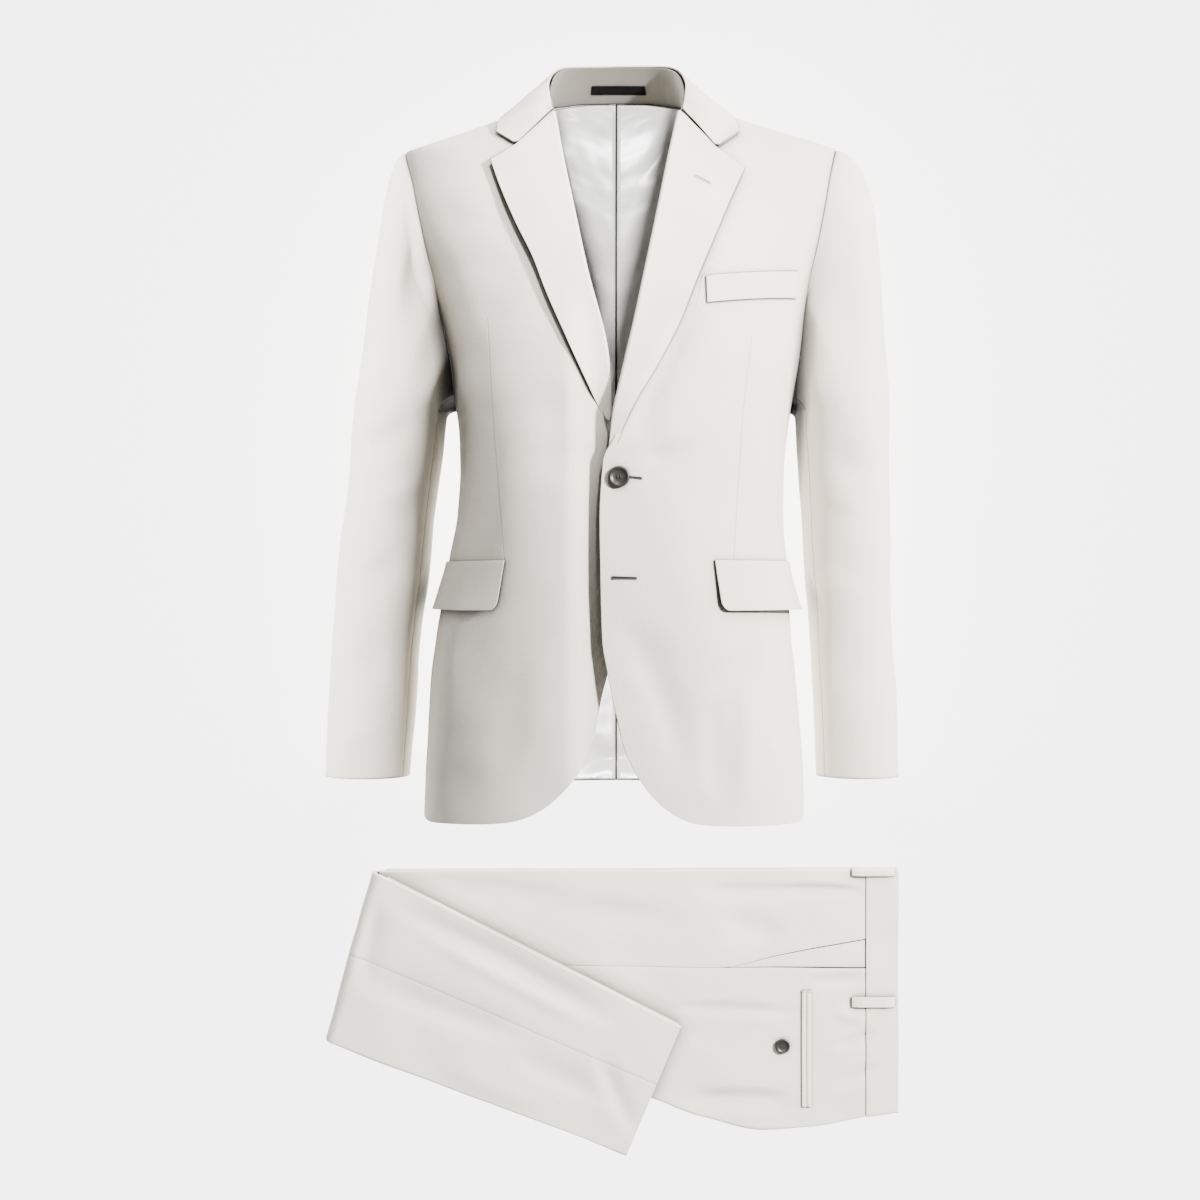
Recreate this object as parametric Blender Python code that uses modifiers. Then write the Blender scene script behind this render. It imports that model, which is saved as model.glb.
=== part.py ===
"""A two-piece suit laid out on a table, seen from above: a filled-out jacket on its back, and trousers folded below it.

Millimetres in the tables, metres in the scene. +X runs across the jacket to the wearer's left, +Y towards the
collar, +Z up from the table. The jacket's own frame has its centre-back hem at the origin; the trousers' own
frame has the front corner of the waistband at the origin, with the leg running to -X.
"""

import math

import bmesh
import bpy
import numpy as np
from mathutils import Matrix, Vector

MM = 0.001

# Where the two garments lie on the table.
JACKET_AT = (5.0, -186.6)
TROUSERS_AT = (319.0, -284.0)

# Cloth, and the lining's edges: how far above the hem and below the neckline they lie.
WALL = 2.0
LINING_WALL = 1.0
SEAM = 0.36
LAYER_GAP = 0.6
LINING_HEM_UP, LINING_TOP_DOWN = 4.0, 3.0

# Colours, each with its roughness.
SUITING_LOOK = ((0.79, 0.775, 0.745), 0.85)
SATIN_LOOK = ((0.83, 0.82, 0.8), 0.32)
HORN_LOOK = ((0.03, 0.027, 0.025), 0.35)
TAPE_LOOK = ((0.02, 0.019, 0.018), 0.8)
SHARP_ANGLE = 50.0

# Points inside the garment that its outer faces look away from, and a length too short to matter.
BODY_CENTRE = np.array([0.0, 0.0, 100.0])
CHEST_CENTRE = np.array([0.0, 500.0, 100.0])
COLLAR_CENTRE = np.array([0.0, 740.0, 110.0])
TINY = 1e-9

# Jacket levels and points, from the centre-back hem.
ARMPIT_Y = 418.0
NECK_Y = 722.0
NAPE_Y = 745.0
NECK_X = 76.0
TIP_X, TIP_Y = {1: 229.0, -1: 222.0}, {1: 674.0, -1: 670.0}

# Powers of the curve that rounds the body, across and up, for the front and for the back.
FRONT_POWERS = (2.3, 2.0)
BACK_POWERS = (3.4, 3.4)

# Where the side panel starts and ends, in degrees round the body from the centre front.
FRONT_SEAM_T = 90.0
FRONT_SEAM_HEM_T = 97.0
BACK_SEAM_T = 128.0

# How many columns each panel has: the front's are closer towards its edge, the back's end at the neck points.
FRONT_COLUMNS, SIDE_COLUMNS, BACK_COLUMNS = 10, 3, 7
FRONT_SHARES = np.linspace(0, 1, FRONT_COLUMNS + 1) ** 1.25
NECK_POINTS_X = (71.0, 50.0, 0.0)
SHOULDER_COLUMNS = BACK_COLUMNS - len(NECK_POINTS_X)


class Table:
    """Rows of sizes with named columns, read smoothly against the first column."""

    def __init__(self, names, rows):
        self.names = names.split()
        self.rows = np.array(rows, float)

    def __getitem__(self, name):
        return self.rows[:, self.names.index(name)]

    def at(self, name, where):
        return smooth(self.rows[:, 0], self[name], where)


def smooth(xs, ys, x):
    """The monotone cubic through the points (xs, ys), read at x."""
    x = np.asarray(x, float)
    step = np.diff(xs)
    slope = np.diff(ys) / step
    product = slope[1:] * slope[:-1]
    total = np.where(slope[1:] + slope[:-1] == 0, 1, slope[1:] + slope[:-1])
    inner = np.where(product > 0, 2 * product / total, 0)
    tangent = np.concatenate([slope[:1], inner, slope[-1:]])
    i = np.clip(np.searchsorted(xs, x) - 1, 0, len(step) - 1)
    f = np.clip((x - xs[i]) / step[i], 0, 1)
    return (
        ys[i] * (1 + 2 * f) * (1 - f) ** 2
        + ys[i + 1] * f * f * (3 - 2 * f)
        + step[i] * f * (1 - f) * (tangent[i] * (1 - f) - tangent[i + 1] * f)
    )


# The body: half widths to the wearer's right and left, the height of the widest point, and of front and back.
BODY = Table(
    "y right left side_z front_z back_z",
    [
        (-32, 205, 199, 98, 188, -3),
        (20, 203, 197, 98, 192, -3),
        (104, 198, 191, 98, 198, -3),
        (175, 190, 184, 98, 203, -3),
        (242, 178, 179, 98, 206, -3),
        (290, 169, 176, 98, 208, -3),
        (330, 167, 176, 98, 210, -3),
        (371, 168, 179, 98, 213, -3),
        (418, 173, 187, 98, 216, -3),
        (447, 176, 194, 98, 217, -3),
        (494, 187, 202, 99, 215, -3),
        (530, 198, 209, 101, 210, -3),
        (590, 218, 223, 105, 197, 1),
        (633, 224, 230, 110, 182, 9),
        (674, 222, 229, 114, 165, 18),
        (722, 76, 76, 114, 143, 34),
        (745, 76, 76, 114, 137, 38),
        (760, 76, 76, 114, 137, 38),
    ],
)

# The hem round the body, in degrees from the centre front; it starts at the cutaway's corner.
HEM_BEHIND = [(70, -30), (90, -24), (125, -12), (155, -3), (180, 0)]
HEM = {
    1: Table(
        "t y",
        [
            (10.2, -6), (12, -11), (14, -16), (16.2, -20), (18.9, -23.4), (22, -25.7), (28, -27.4), (42, -29),
            *HEM_BEHIND,
        ],
    ),
    -1: Table(
        "t y",
        [(17, -6), (19.3, -11.2), (22.4, -16.8), (26, -21.4), (31, -24.6), (41, -27.4), (55, -29), *HEM_BEHIND],
    ),
}

# The front edge, from the cutaway corner up to the break of the lapel, then the line that the front keeps
# under the roll of the lapel, up to the neck. The wearer's left front laps over the right one.
FRONT_EDGE = {
    1: Table(
        "y x",
        [
            (-6, 44), (8, 31), (27, 18), (54, 5.7), (86, -2), (131, -11), (162, -16), (241, -18), (281, -18.5),
            (340, -15), (346, -13.5), (363, -4), (388, 3), (421, 9), (477, 22), (539, 35), (593, 46), (646, 57),
            (706, 69), (722, 76),
        ],
    ),
    -1: Table(
        "y x",
        [
            (-6, 70), (8, 55), (27, 39), (50, 29), (72, 22), (100, 17), (131, 9), (190, -6), (240, -14), (300, -20),
            (346, -18), (363, 8), (388, 15), (400, 16), (447, 19), (530, 38), (597, 51), (656, 63),
            (701, 70), (722, 76),
        ],
    ),
}

# The armhole's seam seen from the front: how far out it lies.
ARMHOLE_FRONT = {
    1: Table(
        "y x",
        [(418, 187), (455, 191), (500, 196), (525, 199), (565, 205.5), (605, 213), (646, 222), (674, 229)],
    ),
    -1: Table(
        "y x",
        [(418, 173), (447, 174), (494, 183), (530, 191), (552, 196), (590, 203), (633, 212), (670, 222)],
    ),
}
ARMHOLE_BACK = {
    1: Table("y x", [(418, 164), (470, 168), (530, 176), (590, 193), (640, 215), (674, 229)]),
    -1: Table("y x", [(418, 152), (470, 158), (530, 169), (590, 187), (640, 209), (670, 222)]),
}

# The back neckline from the nape to the neck point.
NECKLINE = Table("x y", [(0, 745), (35, 743.5), (60, 738), (73, 730), (76, 722)])

# How far the right front dips under the left one, across the lap, and the height where the dip ends.
LAP_DIP, LAP_FROM_X, LAP_TO_X = 9.0, -50.0, -17.0
LAP_ENDS_Y = (440.0, 530.0)

# Rows of the body panels: shares of the way from hem to armpit, and from armpit to shoulder.
LOWER_ROWS = (0, 0.025, 0.06, 0.11, 0.18, 0.28, 0.42, 0.58, 0.74, 0.83, 0.87, 0.93, 1)
UPPER_ROWS = (0, 0.13, 0.26, 0.4, 0.54, 0.67, 0.79, 0.88, 0.95, 1)

# The sleeve below the cap: the outer and inner edge seen from the front, its middle height and half depth.
SLEEVE = {
    1: Table(
        "y outer inner mid_z half_depth",
        [
            (8, 309, 219, 42, 43.5),
            (86, 305, 215, 46, 47.5),
            (165, 300, 210, 52, 52.5),
            (231, 295.5, 205, 60, 56),
            (296, 293, 199, 71, 59),
            (339, 291.5, 195, 79, 61),
            (372, 290.5, 192, 85, 62.5),
            (400, 289, 190, 90, 64),
        ],
    ),
    -1: Table(
        "y outer inner mid_z half_depth",
        [
            (8, 318, 226, 42, 43.5),
            (76, 315, 220, 46, 47.5),
            (139, 310, 214.5, 51, 52),
            (215, 303, 205.5, 59, 55.5),
            (290, 294, 197, 71, 59),
            (336, 287, 189, 79, 61),
            (370, 283, 184, 85, 62.5),
            (400, 279, 180, 90, 64),
        ],
    ),
}
SLEEVE_LEVELS = (400, 350, 298, 245, 190, 135, 85, 40, 10)
CAP_BULGE = {1: 28.0, -1: 12.5}
CAP_SKEW, CAP_RISE, CAP_SHARES = 0.45, 9.0, (0.07, 0.2, 0.4, 0.68)
FORE_SEAM_PHI, HIND_SEAM_PHI = 150.0, 315.0
UNDERARM_CLEAR, UNDERARM_PUSH = 1.0, 14.0

# The lapels: the roll line and the outer edge, up to the gorge, and the notch that the top edge turns at.
ROLL = {
    1: Table(
        "y x",
        [(354, -8.8), (378, -5), (421, 4.7), (477, 17.7), (538.6, 30.7), (593, 42), (646.5, 52.6), (706, 65)],
    ),
    -1: Table("y x", [(381, 7.6), (400, 8.6), (447, 12.5), (529.6, 33), (597, 47), (656, 58.7), (706, 67)]),
}
LAPEL_EDGE = {
    1: Table(
        "y x",
        [
            (354, -3.5), (393.6, 14.2), (431.7, 36.9), (480.6, 62.4), (513.9, 75.2), (564, 95.9), (616, 117.7),
            (639.7, 128.3),
        ],
    ),
    -1: Table(
        "y x",
        [
            (381, 9.8), (389, 16), (424.5, 33.8), (467.5, 54), (508, 71.7), (543, 84.8), (581, 103),
            (621.6, 119.7), (649.4, 129.2),
        ],
    ),
}
NOTCH = {1: (100.7, 663.0), -1: (103.2, 666.4)}
LAPEL_ROWS, LAPEL_COLUMNS, NOTCH_COLUMN = 13, 5, 3
LAPEL_LIFT = {1: (3.4, 4.6), -1: (3.4, 10.0)}
LAPEL_OPENS_BY, LAPEL_OPENING_POWER = 0.625, 1.5
ROLL_RADIUS, ROLL_TURNS = 3.2, (90, 45)

# The collar from the centre back to its front end: the fold line, the leaf's outer edge and the neck seam.
COLLAR = Table(
    "station fold_x fold_y fold_z edge_x edge_y edge_z seam_x seam_y seam_z",
    [
        (0, 0, 783, 53, 0, 738, 29, 0, 746, 38.6),
        (1, 30, 782, 55, 40, 734, 31, 34, 745, 40.2),
        (2, 52, 779, 63, 69, 724, 41, 59, 739.6, 48),
        (3, 65, 770, 79, 91, 719.5, 63, 71, 734, 66),
        (4, 70, 757, 98, 107, 716, 91, 74, 728.6, 90),
        (5, 71.5, 742, 117, 117, 711.5, 118, 75.4, 724.6, 113),
        (6, 70, 725, 135, 123, 699, 141, 73.4, 718, 129.5),
        (7, 67, 708.2, 149, 124.5, 683, 157, 69, 709, 142),
    ],
)
COLLAR_STEPS, COLLAR_COLUMNS, STAND_COLUMNS = 24, 4, 2
LEAF_BULGE, LEAF_POWER, STAND_DROP = 4.0, 0.7, 2.0
GORGE_CLEAR, LEAF_LIFT = 0.9, 5.2

# Pockets, buttons and label on the jacket.
FLAP = {
    1: {"in_top": 97.0, "in_low": 103.0, "top": 242.0, "low": 191.0, "stands_off": 13.0},
    -1: {"in_top": 115.0, "in_low": 124.0, "top": 242.0, "low": 191.0, "stands_off": 9.0},
}
FLAP_LENGTH, FLAP_WALL, FLAP_CLEAR, FLAP_ROWS, FLAP_COLUMNS = 151.0, 1.8, 1.0, 3, 8
FLAP_FRONT_SHARE, FLAP_DOWN_POWER, FLAP_ACROSS_POWER = 0.22, 1.4, 1.5
FLAP_PATH_END_T, FLAP_PATH_POINTS, FRAME_STEP = 125.0, 80, 0.4
WELT_CORNERS = ((87.0, 524.0), (184.0, 538.0), (183.0, 511.0), (88.0, 497.5))
WELT_ROWS, WELT_COLUMNS = 1, 5
FRONT_BUTTON_AT, HIDDEN_BUTTON_AT, BACK_BUTTON_AT = (0.8, 324.0), (2.0, 223.4), (-129.0, -196.9)
FRONT_BUTTON = {"radius": 10.6, "height": 3.4}
TROUSER_BUTTON = {"radius": 8.2, "height": 2.8}
BUTTON_PROFILE = Table(
    "radius height",
    [(0, 0.58), (0.6, 0.6), (0.74, 0.92), (0.86, 1), (1, 0.62), (0.92, 0.25), (0.6, 0), (0, 0)],
)
BUTTON_CLEAR, BUTTON_SIDES, SLOPE_REACH = 0.7, 24, 4.0
BUTTON_HOLES = {"count": 4, "first": 45.0, "out": 0.2, "radius": 0.075, "sides": 8}
LABEL_STATIONS, LABEL_SHARES, LABEL_THICK = (-0.83, 0.97), (0.5, 0.74), 0.6

# The trousers' upper leg: its two creases from the fold to the waist. Each leg is a loop of cloth 6 mm thick.
LEG = Table(
    "x front back",
    [
        (-640, -2, -188), (-443, -1, -221), (-278, -1, -255), (-220, -0.5, -276), (-148, 0, -290), (-87, 0, -287),
        (-35, 0, -277), (0, 0, -272.6),
    ],
)
LEG_TOP, TROUSER_WALL = 12.0, 1.6
CREASE_RADIUS, CREASE_TURN, CREASE_STEPS, PANEL_COLUMNS = 2.9, 168.0, 4, 3
FIRST_SEAM_SHARE, SEAM_ROUNDS = 0.4, 3
SIDE_SEAM = Table("x y", [(-640, -106), (-330, -108), (-200, -110), (-140, -110), (-36, -111), (0, -111)])
FRONT_PANEL_EDGE = Table(
    "x y",
    [
        (-640, -106), (-330, -108), (-200, -110), (-192.7, -109.6), (-133, -96), (-97, -88.8), (-54, -81.3),
        (-36, -78.2),
    ],
)
POCKET_FROM_X, FACING_TOP, FACING_WALL, FACING_STEPS = -176.0, 11.5, 1.0, 6
WAIST_SEAM_X = -36.4
UPPER_STOPS = (0.015, 0.2, 0.4, 0.58, 0.68, 0.74, 0.8, 0.86, 0.92, 1)

# The folded leg: its corners at the fold and at the hem, and the bend that both legs make there.
FOLD_TOP, FOLD_LOW = (-585.0, -2.0), (-638.0, -190.0)
HEM_TOP, HEM_LOW = (-242.0, -172.0), (-303.0, -315.5)
FOLD_LIFT, BEND_RADIUS = 12.4, 12.2
BEND_OUT = np.array([-0.9624, 0.2716])
BEND_END, BEND_STEPS = -78.0, 6
FOLD_SEAM_SHARE, HEM_SEAM_SHARE = 0.485, 0.452
FOLDED_STOPS = (0, 0.2, 0.4, 0.6, 0.8, 1)

# The hidden layers: how far in from the crease each height lies, their sections, and their nose in the bend.
LAYER_EDGE = Table(
    "inset height",
    [
        (4, 0), (0.9, 0.085), (0, 0.29), (0.9, 0.5), (2.6, 0.57), (5.4, 0.61), (3.5, 0.7), (3.2, 0.81),
        (3.7, 0.93), (5.6, 1),
    ],
)
NOSE = Table("distance tuck", [(8.6, 7), (6, 5), (0.4, 4)])
LAYER_STOPS = (0.026, 0.2, 0.4, 0.58, 0.68, 0.74, 0.8, 0.86, 0.92, 0.996)
FOLDED_LAYER_STOPS = (0.02, 0.25, 0.5, 0.75, 0.994)
WAIST_LAYERS = Table("x low tuck", [(-37.5, 2.9, 3.6), (-3, 2.9, 3.6)])

# The waistband, its loops and the back pocket.
BAND_TOP, BAND_WALL, BAND_RADIUS, BAND_TURN, BAND_STEPS = 12.9, 2.0, 3.2, 165.0, 4
BAND_SHARES = (0.25, 0.5, 0.75)
LOOP_LIFTS = Table("x lift", [(-52, 0), (-46, 1.6), (-10, 1.6), (-4, 0.2)])
LOOP_WALL, LOOP_WIDTH, LOOP_RADIUS, LOOP_TURNS = 1.4, 8.0, 5.0, (90, 60, 35, 10)
LOOP_MIDDLE_X, SIDE_LOOP_Y = -20.0, (-153.5, -142.0)
BACK_WELT_X, BACK_WELT_Y, WELT_WIDTH, WELT_WALL, WELT_CROWN = -107.6, (-264.4, -135.6), 5.1, 1.1, 0.4


def spread(start, stop, count):
    return np.linspace(start, stop, count + 1)


def half_width(x, y):
    """The body's half width on the side of x; the shoulder line is straight from its tip to the neck."""
    widths = {}
    for side, name in ((1, "left"), (-1, "right")):
        share = np.clip((y - TIP_Y[side]) / (NECK_Y - TIP_Y[side]), 0, 1)
        shoulder = TIP_X[side] + (NECK_X - TIP_X[side]) * share
        widths[side] = np.where(y > TIP_Y[side], shoulder, BODY.at(name, y))
    return np.where(x < 0, widths[-1], widths[1])


def lap_dip(x, y):
    """How far the wearer's right front drops, near the centre, to pass under the left one."""
    across = np.clip((x - LAP_FROM_X) / (LAP_TO_X - LAP_FROM_X), 0, 1)
    along = np.clip((LAP_ENDS_Y[1] - y) / (LAP_ENDS_Y[1] - LAP_ENDS_Y[0]), 0, 1)
    return LAP_DIP * across * across * (3 - 2 * across) * along * along * (3 - 2 * along)


def front_height(x, y, side):
    across, up = FRONT_POWERS
    share = np.clip(1 - np.clip(np.abs(x) / half_width(x, y), 0, 1) ** across, 0, 1)
    low = BODY.at("side_z", y)
    z = low + (BODY.at("front_z", y) - low) * share ** (1 / up)
    return z - lap_dip(x, y) if side < 0 else z


def back_height(x, y):
    across, up = BACK_POWERS
    share = np.clip(1 - np.clip(np.abs(x) / half_width(x, y), 0, 1) ** across, 0, 1)
    high = BODY.at("side_z", y)
    return np.maximum(high - (high - BODY.at("back_z", y)) * share ** (1 / up), 0)


def angle_of(x, y, side):
    """Degrees round the body, from the centre front, of a point x across the front."""
    share = side * x / half_width(x, y)
    return np.degrees(np.sign(share) * np.arcsin(np.abs(share) ** (FRONT_POWERS[0] / 2)))


def round_body(t, y, side):
    """The body's outer surface at t degrees from the centre front, 180 being the centre back."""
    sine, cosine = np.sin(np.radians(t)), np.cos(np.radians(t))
    across, up = FRONT_POWERS
    front_x = side * np.sign(sine) * np.abs(sine) ** (2 / across)
    back_x = side * np.abs(sine) ** (2 / BACK_POWERS[0])
    x = np.where(t <= 90, front_x, back_x)
    x = x * half_width(x, y)
    low = BODY.at("side_z", y)
    front_z = low + (BODY.at("front_z", y) - low) * np.abs(cosine) ** (2 / up)
    back_z = low - (low - BODY.at("back_z", y)) * np.abs(cosine) ** (2 / BACK_POWERS[1])
    z = np.where(t <= 90, front_z, np.maximum(back_z, 0))
    if side < 0:
        z = z - np.where(t <= 90, lap_dip(x, y), 0)
    return np.stack([x, y, z], axis=-1)


def shares(line):
    """How far along a line each of its points lies, from 0 to 1."""
    reach = np.concatenate([[0], np.cumsum(np.linalg.norm(np.diff(line, axis=0), axis=1))])
    return reach / reach[-1]


def coons(bottom, top, first, last):
    """A grid between four plane edges: rows run from bottom to top, columns from first to last."""
    u = shares(bottom)[None, :, None]
    v = shares(first)[:, None, None]
    corners = (
        (1 - u) * (1 - v) * bottom[0] + u * (1 - v) * bottom[-1] + (1 - u) * v * top[0] + u * v * top[-1]
    )
    return (1 - v) * bottom + v * top + (1 - u) * first[:, None] + u * last[:, None] - corners


def shoulder_line(side, along):
    """The shoulder seam, straight from its tip to the neck."""
    along = np.asarray(along)
    x = TIP_X[side] + (NECK_X - TIP_X[side]) * along
    return np.stack([side * x, TIP_Y[side] + (NECK_Y - TIP_Y[side]) * along], axis=-1)


def edge_curve(table, ys, side):
    return np.stack([side * table.at("x", ys), ys], axis=-1)


def lower_body(side):
    """Rows from hem to armpit, columns from the front edge to the centre back, as points."""
    grid = []
    corner_y = FRONT_EDGE[side]["y"][0]
    for v in LOWER_ROWS:
        edge_y = corner_y + (ARMPIT_Y - corner_y) * v
        edge_x = side * FRONT_EDGE[side].at("x", edge_y)
        seam_t = FRONT_SEAM_HEM_T + (FRONT_SEAM_T - FRONT_SEAM_HEM_T) * v
        first_t = angle_of(edge_x, edge_y, side)
        t = np.concatenate(
            [
                first_t + (seam_t - first_t) * FRONT_SHARES,
                spread(seam_t, BACK_SEAM_T, SIDE_COLUMNS)[1:],
                spread(BACK_SEAM_T, 180, BACK_COLUMNS)[1:],
            ]
        )
        hem = HEM[side].at("y", t)
        y = hem + (ARMPIT_Y - hem) * v
        grid.append(round_body(t, y, side))
    return np.array(grid)


def front_panel(side, lower):
    """The whole front as a grid: the part under the armhole, then the chest up to the shoulder seam."""
    rows = np.array(UPPER_ROWS)
    bottom = lower[-1, : FRONT_COLUMNS + 1, :2]
    inner_y = ARMPIT_Y + (NECK_Y - ARMPIT_Y) * rows
    outer_y = ARMPIT_Y + (TIP_Y[side] - ARMPIT_Y) * rows
    inner = edge_curve(FRONT_EDGE[side], inner_y, side)
    outer = edge_curve(ARMHOLE_FRONT[side], outer_y, side)
    inner[-1] = (side * NECK_X, NECK_Y)
    plan = coons(bottom, shoulder_line(side, 1 - FRONT_SHARES), inner, outer)
    upper = np.dstack([plan, front_height(plan[..., 0], plan[..., 1], side)])
    upper[-1, :, 2] = BODY.at("side_z", TIP_Y[side])
    return np.concatenate([lower[:, : FRONT_COLUMNS + 1], upper[1:]])


def back_panel(side, lower):
    """The whole back half as a grid, columns from the side to the centre back."""
    rows = np.array(UPPER_ROWS)
    bottom = lower[-1, FRONT_COLUMNS + SIDE_COLUMNS :, :2]
    outer_y = ARMPIT_Y + (TIP_Y[side] - ARMPIT_Y) * rows
    outer = edge_curve(ARMHOLE_BACK[side], outer_y, side)
    outer[0] = bottom[0]
    centre_y = ARMPIT_Y + (NAPE_Y - ARMPIT_Y) * rows
    centre = np.stack([0 * centre_y, centre_y], axis=-1)
    shoulder = shoulder_line(side, spread(0, 1, SHOULDER_COLUMNS))
    neck_x = np.array(NECK_POINTS_X)
    neck = np.stack([side * neck_x, NECKLINE.at("y", neck_x)], axis=-1)
    plan = coons(bottom, np.concatenate([shoulder, neck]), outer, centre)
    upper = np.dstack([plan, back_height(plan[..., 0], plan[..., 1])])
    upper[-1, : SHOULDER_COLUMNS + 1, 2] = BODY.at("side_z", TIP_Y[side])
    return np.concatenate([lower[:, FRONT_COLUMNS + SIDE_COLUMNS :], upper[1:]])


def normals_of(grid, closed=False):
    """Unit normals of a grid of points, right-handed in (column, row) order."""
    if closed:
        across = np.roll(grid, -1, axis=1) - np.roll(grid, 1, axis=1)
    else:
        across = np.gradient(grid, axis=1)
    along = np.gradient(grid, axis=0)
    normal = np.cross(across, along)
    length = np.linalg.norm(normal, axis=-1, keepdims=True)
    return normal / np.maximum(length, TINY)


def trimmed(grid, first_row=True, last_row=True, first_column=True, last_column=True, by=SEAM / 2):
    """The grid with its named edges drawn in by half a seam, so that two neighbours stand a seam apart."""
    grid = grid.copy()

    def draw_in(edge, inner):
        step = inner - edge
        return edge + step * by / np.maximum(np.linalg.norm(step, axis=-1, keepdims=True), TINY)

    if first_row:
        grid[0] = draw_in(grid[0], grid[1])
    if last_row:
        grid[-1] = draw_in(grid[-1], grid[-2])
    if first_column:
        grid[:, 0] = draw_in(grid[:, 0], grid[:, 1])
    if last_column:
        grid[:, -1] = draw_in(grid[:, -1], grid[:, -2])
    return grid


def material(name, look):
    """A plain material from its colour and roughness."""
    colour, roughness = look
    found = bpy.data.materials.get(name) or bpy.data.materials.new(name)
    found.use_nodes = True
    shader = found.node_tree.nodes["Principled BSDF"]
    shader.inputs["Base Color"].default_value = (*colour, 1)
    shader.inputs["Roughness"].default_value = roughness
    return found


def suiting():
    return material("ivory_suiting", SUITING_LOOK)


def satin():
    return material("ivory_lining", SATIN_LOOK)


def horn():
    return material("dark_horn", HORN_LOOK)


def tape():
    return material("dark_tape", TAPE_LOOK)


def add_object(name, mesh, garment, surface):
    """Puts the mesh, in millimetres of its garment's own frame, under that garment's empty."""
    mesh.transform(Matrix.Scale(MM, 4))
    mesh.materials.append(surface)
    mesh.shade_smooth()
    mesh.set_sharp_from_angle(angle=math.radians(SHARP_ANGLE))
    obj = bpy.data.objects.new(name, mesh)
    COLLECTION.objects.link(obj)
    obj.parent = garment
    return obj


def solid(name, points, faces):
    """A mesh from points and faces, turned so that its faces point out."""
    mesh = bpy.data.meshes.new(name)
    mesh.from_pydata([tuple(p) for p in points], [], [tuple(int(k) for k in f) for f in faces])
    shell = bmesh.new()
    shell.from_mesh(mesh)
    if shell.calc_volume(signed=True) < 0:
        bmesh.ops.reverse_faces(shell, faces=shell.faces)
    shell.to_mesh(mesh)
    shell.free()
    return mesh


def between(name, outer, inner, garment, surface):
    """A closed wall between two grids of points, its outer face on the first."""
    rows, columns = outer.shape[:2]
    points = np.concatenate([outer.reshape(-1, 3), inner.reshape(-1, 3)])
    index = np.arange(rows * columns).reshape(rows, columns)
    under = index + rows * columns
    faces = []
    for i in range(rows - 1):
        for j in range(columns - 1):
            faces.append((index[i, j], index[i, j + 1], index[i + 1, j + 1], index[i + 1, j]))
            faces.append((under[i, j], under[i + 1, j], under[i + 1, j + 1], under[i, j + 1]))
    rim = [*index[0, :-1], *index[:-1, -1], *index[-1, :0:-1], *index[:0:-1, 0]]
    for here, there in zip(rim, rim[1:] + rim[:1]):
        faces.append((there, here, here + rows * columns, there + rows * columns))
    return add_object(name, solid(name, points, faces), garment, surface)


def wall(name, grid, normals, garment, surface=None, thick=WALL, edges=(True, True, True, True)):
    """A cloth panel: its outer face on the grid, drawn in at its seams, and its inner face a wall below."""
    outer = trimmed(grid, *edges)
    return between(name, outer, outer - normals * thick, garment, surface or suiting())


def outward(normals, grid, centre):
    """Turns a grid's normals to point away from a centre."""
    away = (grid - centre) * normals
    return normals if away.sum() > 0 else -normals


def loft(name, loops, garment, surface):
    """A closed solid through a row of closed loops, capped at both ends."""
    loops = np.asarray(loops)
    count, around = loops.shape[:2]
    points = [tuple(p) for p in loops.reshape(-1, 3)]
    faces = [tuple(range(around))[::-1], tuple(range((count - 1) * around, count * around))]
    for i in range(count - 1):
        for j in range(around):
            a, b = i * around + j, i * around + (j + 1) % around
            faces.append((a, b, b + around, a + around))
    return add_object(name, solid(name, points, faces), garment, surface)


def armhole_loop(front, back, lower, normals):
    """The armhole from the shoulder tip down the front, under the arm and up the back, with the body's normals."""
    start = len(LOWER_ROWS) - 1
    side_part = slice(FRONT_COLUMNS, FRONT_COLUMNS + SIDE_COLUMNS + 1)
    points = [front[start:, -1][::-1], lower[-1, side_part][1:], back[start:, 0][1:]]
    turned = [normals["front"][start:, -1][::-1], normals["side"][-1][1:], normals["back"][start:, 0][1:]]
    return np.concatenate(points)[:-1], np.concatenate(turned)[:-1]


def sleeve_grid(side, loop, body_normals):
    """Rows from the armhole down to the cuff, columns round the sleeve from the shoulder tip."""
    closed = np.concatenate([loop, loop[:1]])
    reach = np.concatenate([[0], np.cumsum(np.linalg.norm(np.diff(closed, axis=0), axis=1))])
    phi = 2 * math.pi * reach[:-1] / reach[-1]

    def ring(y):
        table = SLEEVE[side]
        outer, inner = table.at("outer", y), table.at("inner", y)
        x = side * ((outer + inner) / 2 + (outer - inner) / 2 * np.cos(phi))
        z = table.at("mid_z", y) + table.at("half_depth", y) * np.sin(phi)
        return np.stack([x, np.full_like(x, y), np.maximum(z, 0)], axis=-1)

    first = ring(SLEEVE_LEVELS[0])
    rows = [loop]
    for s in CAP_SHARES:
        bulge = CAP_BULGE[side] * math.sin(math.pi * s**CAP_SKEW)
        row = loop + (first - loop) * s
        facing = np.clip(np.cos(phi), 0, 1)
        row[:, 0] += side * bulge * facing
        row[:, 2] += CAP_RISE * math.sin(math.pi * s) * np.clip(np.sin(phi), 0, 1)
        under = np.clip(-np.cos(phi), 0, 1)[:, None]
        row += body_normals * under * UNDERARM_PUSH * math.sin(math.pi * s)
        rows.append(row)
    rows += [ring(y) for y in SLEEVE_LEVELS]
    return np.array(rows), np.degrees(phi)


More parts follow.
